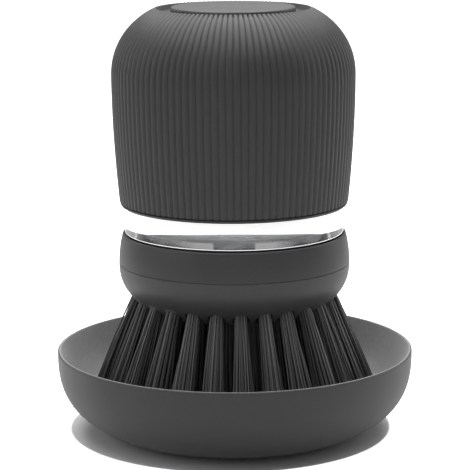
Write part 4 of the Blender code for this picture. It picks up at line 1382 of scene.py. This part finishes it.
    def build(self) -> None:
        """Build and dress every piece of the cap."""
        self.put(self.skin(), "dome_skin", "cap", DOME_PLASTIC, ["dome_grip"], 50.0)
        self.put(self.inner_cap(), "inner_cap", "cap", LINER_PLASTIC, ["cap_liner"])
        self.put(self.gasket(), "neck_gasket", "cap_seal", SEAL_RUBBER, ["cap_gasket"])
        self.put(self.umbrella(), "umbrella_valve", "cap", VALVE_SILICONE, ["air_inlet_valve"])
        spring = self.put(self.coil(), "button_spring", "cap", SPRING_STEEL, ["return_spring"], 60.0)
        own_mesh(spring)


# ---- push button and pump


@dataclass
class PushButton(SubAssembly):
    """Round button with the plunger and its seal under it."""

    radius: float = 15.85
    top: float = 110.25
    inside: float = 107.95
    foot: float = 96.35
    wall: float = 1.5
    lip: float = 1.4
    lip_height: float = 1.6
    socket: float = 6.5
    socket_wall: float = 1.6
    socket_foot: float = 103.45
    piston: float = 7.9
    piston_foot: float = 91.2
    piston_top: float = 95.0
    piston_ring: float = 0.76
    groove: float = 5.6
    stem: float = 3.6
    flange: float = 6.2

    def cap(self) -> Shell:
        """Build the button with its faintly dished top, snap lip and socket."""
        bore, lip = self.radius - self.wall, self.foot + self.lip_height
        socket = self.socket + self.socket_wall
        outline = [
            (0.0, self.top - 0.2), (self.radius * 0.5, self.top - 0.16),
            (self.radius * 0.86, self.top - 0.02, 1.0), (self.radius, self.top, 0.6), (self.radius, lip),
            (self.radius + self.lip, lip, 0.2),
            (self.radius + self.lip, self.foot + self.lip_height / 2, 0.2),
            (self.radius + self.lip / 2, self.foot, 0.2), (bore, self.foot, 0.2), (bore, self.inside, 0.5),
            (socket, self.inside, 0.3), (socket, self.socket_foot, 0.2),
            (self.socket, self.socket_foot, 0.2), (self.socket, self.inside), (0.0, self.inside),
        ]
        return spun(outline, closed=False)

    def plunger(self) -> Shell:
        """Build the stem with its flange and grooved piston."""
        top, under = self.inside - GAP, self.inside - GAP - 1.9
        high, low = self.piston_top - self.piston_ring, self.piston_foot + self.piston_ring
        outline = [
            (0.0, top), (self.flange, top, 0.2), (self.flange, under, 0.3), (self.stem, under, 0.4),
            (self.stem, self.piston_top, 0.4), (self.piston, self.piston_top, 0.2),
            (self.piston, high, 0.1), (self.groove, high), (self.groove, low), (self.piston, low, 0.1),
            (self.piston, self.piston_foot, 0.2), (0.0, self.piston_foot),
        ]
        return spun(outline, closed=False, steps=96)

    def seal(self) -> Shell:
        """Build the soft ring in the piston's groove."""
        inset = self.piston_ring + GAP
        top, low = self.piston_top - inset, self.piston_foot + inset
        return washer(self.piston + GAP, self.groove + GAP, top, low, (0.5, 0.5, 0.3, 0.3), 96)

    def build(self) -> None:
        """Build and dress the button and the pump's moving pieces."""
        self.put(self.cap(), "button_cap", "button", BUTTON_PLASTIC, ["push_button"])
        self.put(self.plunger(), "pump_plunger", "button", PLUNGER_PLASTIC, ["plunger"])
        self.put(self.seal(), "pump_seal", "button", PISTON_RUBBER, ["piston_seal"])


# ---- studio


@dataclass(frozen=True)
class Softbox:
    """A square or oblong lamp that faces a point on the brush."""

    name: str
    place: tuple[float, float, float]
    aim: tuple[float, float, float]
    size: tuple[float, float]
    power: float

    def build(self) -> None:
        """Put the lamp in the scene."""
        data = bpy.data.lights.new(self.name, "AREA")
        data.shape = "RECTANGLE"
        data.size, data.size_y = (side * MM for side in self.size)
        data.energy = self.power
        lamp = linked(self.name, data)
        lamp.location = place = Vector(self.place) * MM
        lamp.rotation_euler = (Vector(self.aim) * MM - place).to_track_quat("-Z", "Y").to_euler()


@dataclass
class Studio:
    """Pale floor, white surround, soft lamps and the camera at the picture's height."""

    distance: float = 535.4
    height: float = 158.03
    pitch: float = 0.1967
    roll: float = 0.3
    lens: float = 162.2
    sensor: float = 36.0
    clip: tuple[float, float] = (0.01, 20.0)
    aside: float = 0.2
    floor_radius: float = 2600.0
    paper: tuple[float, float] = (0.84, 0.88)
    shadow_centre: tuple[float, float, float] = (-1.3, 2.5, 0.0)
    shadow_edge: float = 41.9
    fill: float = 0.25
    mirrored: float = 0.55
    lamps: tuple[Softbox, ...] = (
        Softbox("overhead", (0, 0, 750), (0, 0, 60), (900, 900), 7.1),
        Softbox("overhead_back", (0, 350, 600), (0, 0, 60), (800, 500), 2.7),
        Softbox("right_high", (500, 100, 650), (0, 0, 60), (400, 400), 0.2),
        Softbox("left", (-600, -250, 350), (0, 0, 60), (400, 400), 0.55),
        Softbox("rim_right", (480, 240, 220), (0, 0, 70), (60, 300), 0.22),
        Softbox("rim_left", (-480, 320, 220), (0, 0, 70), (60, 300), 0.16),
    )

    def floor(self) -> None:
        """Lay the floor: white to the camera, with the shadow kept under the tray."""
        bm = bmesh.new()
        bmesh.ops.create_circle(bm, cap_ends=True, segments=96, radius=self.floor_radius * MM)
        floor = linked("floor", as_mesh(bm, "floor"))
        shader = Shader("floor_paper")
        shader.fixed(Roughness=0.9)
        tone = shader.between(shader.noise(60.0), 0.3, 0.7)
        shader.to("Base Color", shader.colours(tone, *([shade] * 3 for shade in self.paper)))
        away = shader.vector("DISTANCE", shader.place, Vector(self.shadow_centre) * MM, "Value")
        edge = [(self.shadow_edge + soft) * MM for soft in (-0.3, 0.3)]
        seen = shader.node("ShaderNodeLightPath").outputs["Is Camera Ray"]
        shader.glow(shader.times(shader.between(away, *edge), seen))
        floor.data.materials.append(shader.material)

    def surround(self) -> None:
        """Make the world white to the camera and through glass, and a studio's shades to the rest."""
        world = bpy.data.worlds.new("studio")
        bpy.context.scene.world = world
        world.use_nodes = True
        sky = Nodes(world.node_tree)
        path = sky.node("ShaderNodeLightPath").outputs
        shade = sky.between(path["Is Glossy Ray"], 0.0, 1.0, self.fill, self.mirrored)
        background = sky.tree.nodes["Background"].inputs
        strength = sky.most(path["Is Camera Ray"], path["Is Transmission Ray"], shade)
        sky.link(strength, background["Strength"])
        background["Color"].default_value = (1.0, 1.0, 1.0, 1.0)

    def camera(self) -> None:
        """Put the camera where the picture was taken from."""
        data = bpy.data.cameras.new("camera")
        data.lens, data.sensor_width = self.lens, self.sensor
        data.clip_start, data.clip_end = self.clip
        camera = linked("camera", data)
        camera.location = (self.aside * MM, -self.distance * MM, self.height * MM)
        tilt = Matrix.Rotation(math.pi / 2 - self.pitch, 3, "X")
        camera.rotation_euler = (tilt @ Matrix.Rotation(-math.radians(self.roll), 3, "Z")).to_euler()
        bpy.context.scene.camera = camera

    def build(self) -> None:
        """Set up the whole studio."""
        self.floor()
        self.surround()
        for lamp in self.lamps:
            lamp.build()
        self.camera()
        bpy.context.scene.view_settings.view_transform = "Standard"


def main() -> None:
    """Build the brush from the counter up, then the studio round it."""
    logging.basicConfig(level=logging.INFO, format="%(name)s: %(message)s")
    tray = DripTray()
    tray.build()
    for assembly in (BrushHead(tray), Vessel(), ScrewCap(), PushButton()):
        assembly.build()
    Studio().build()


if __name__ == "__main__":
    main()
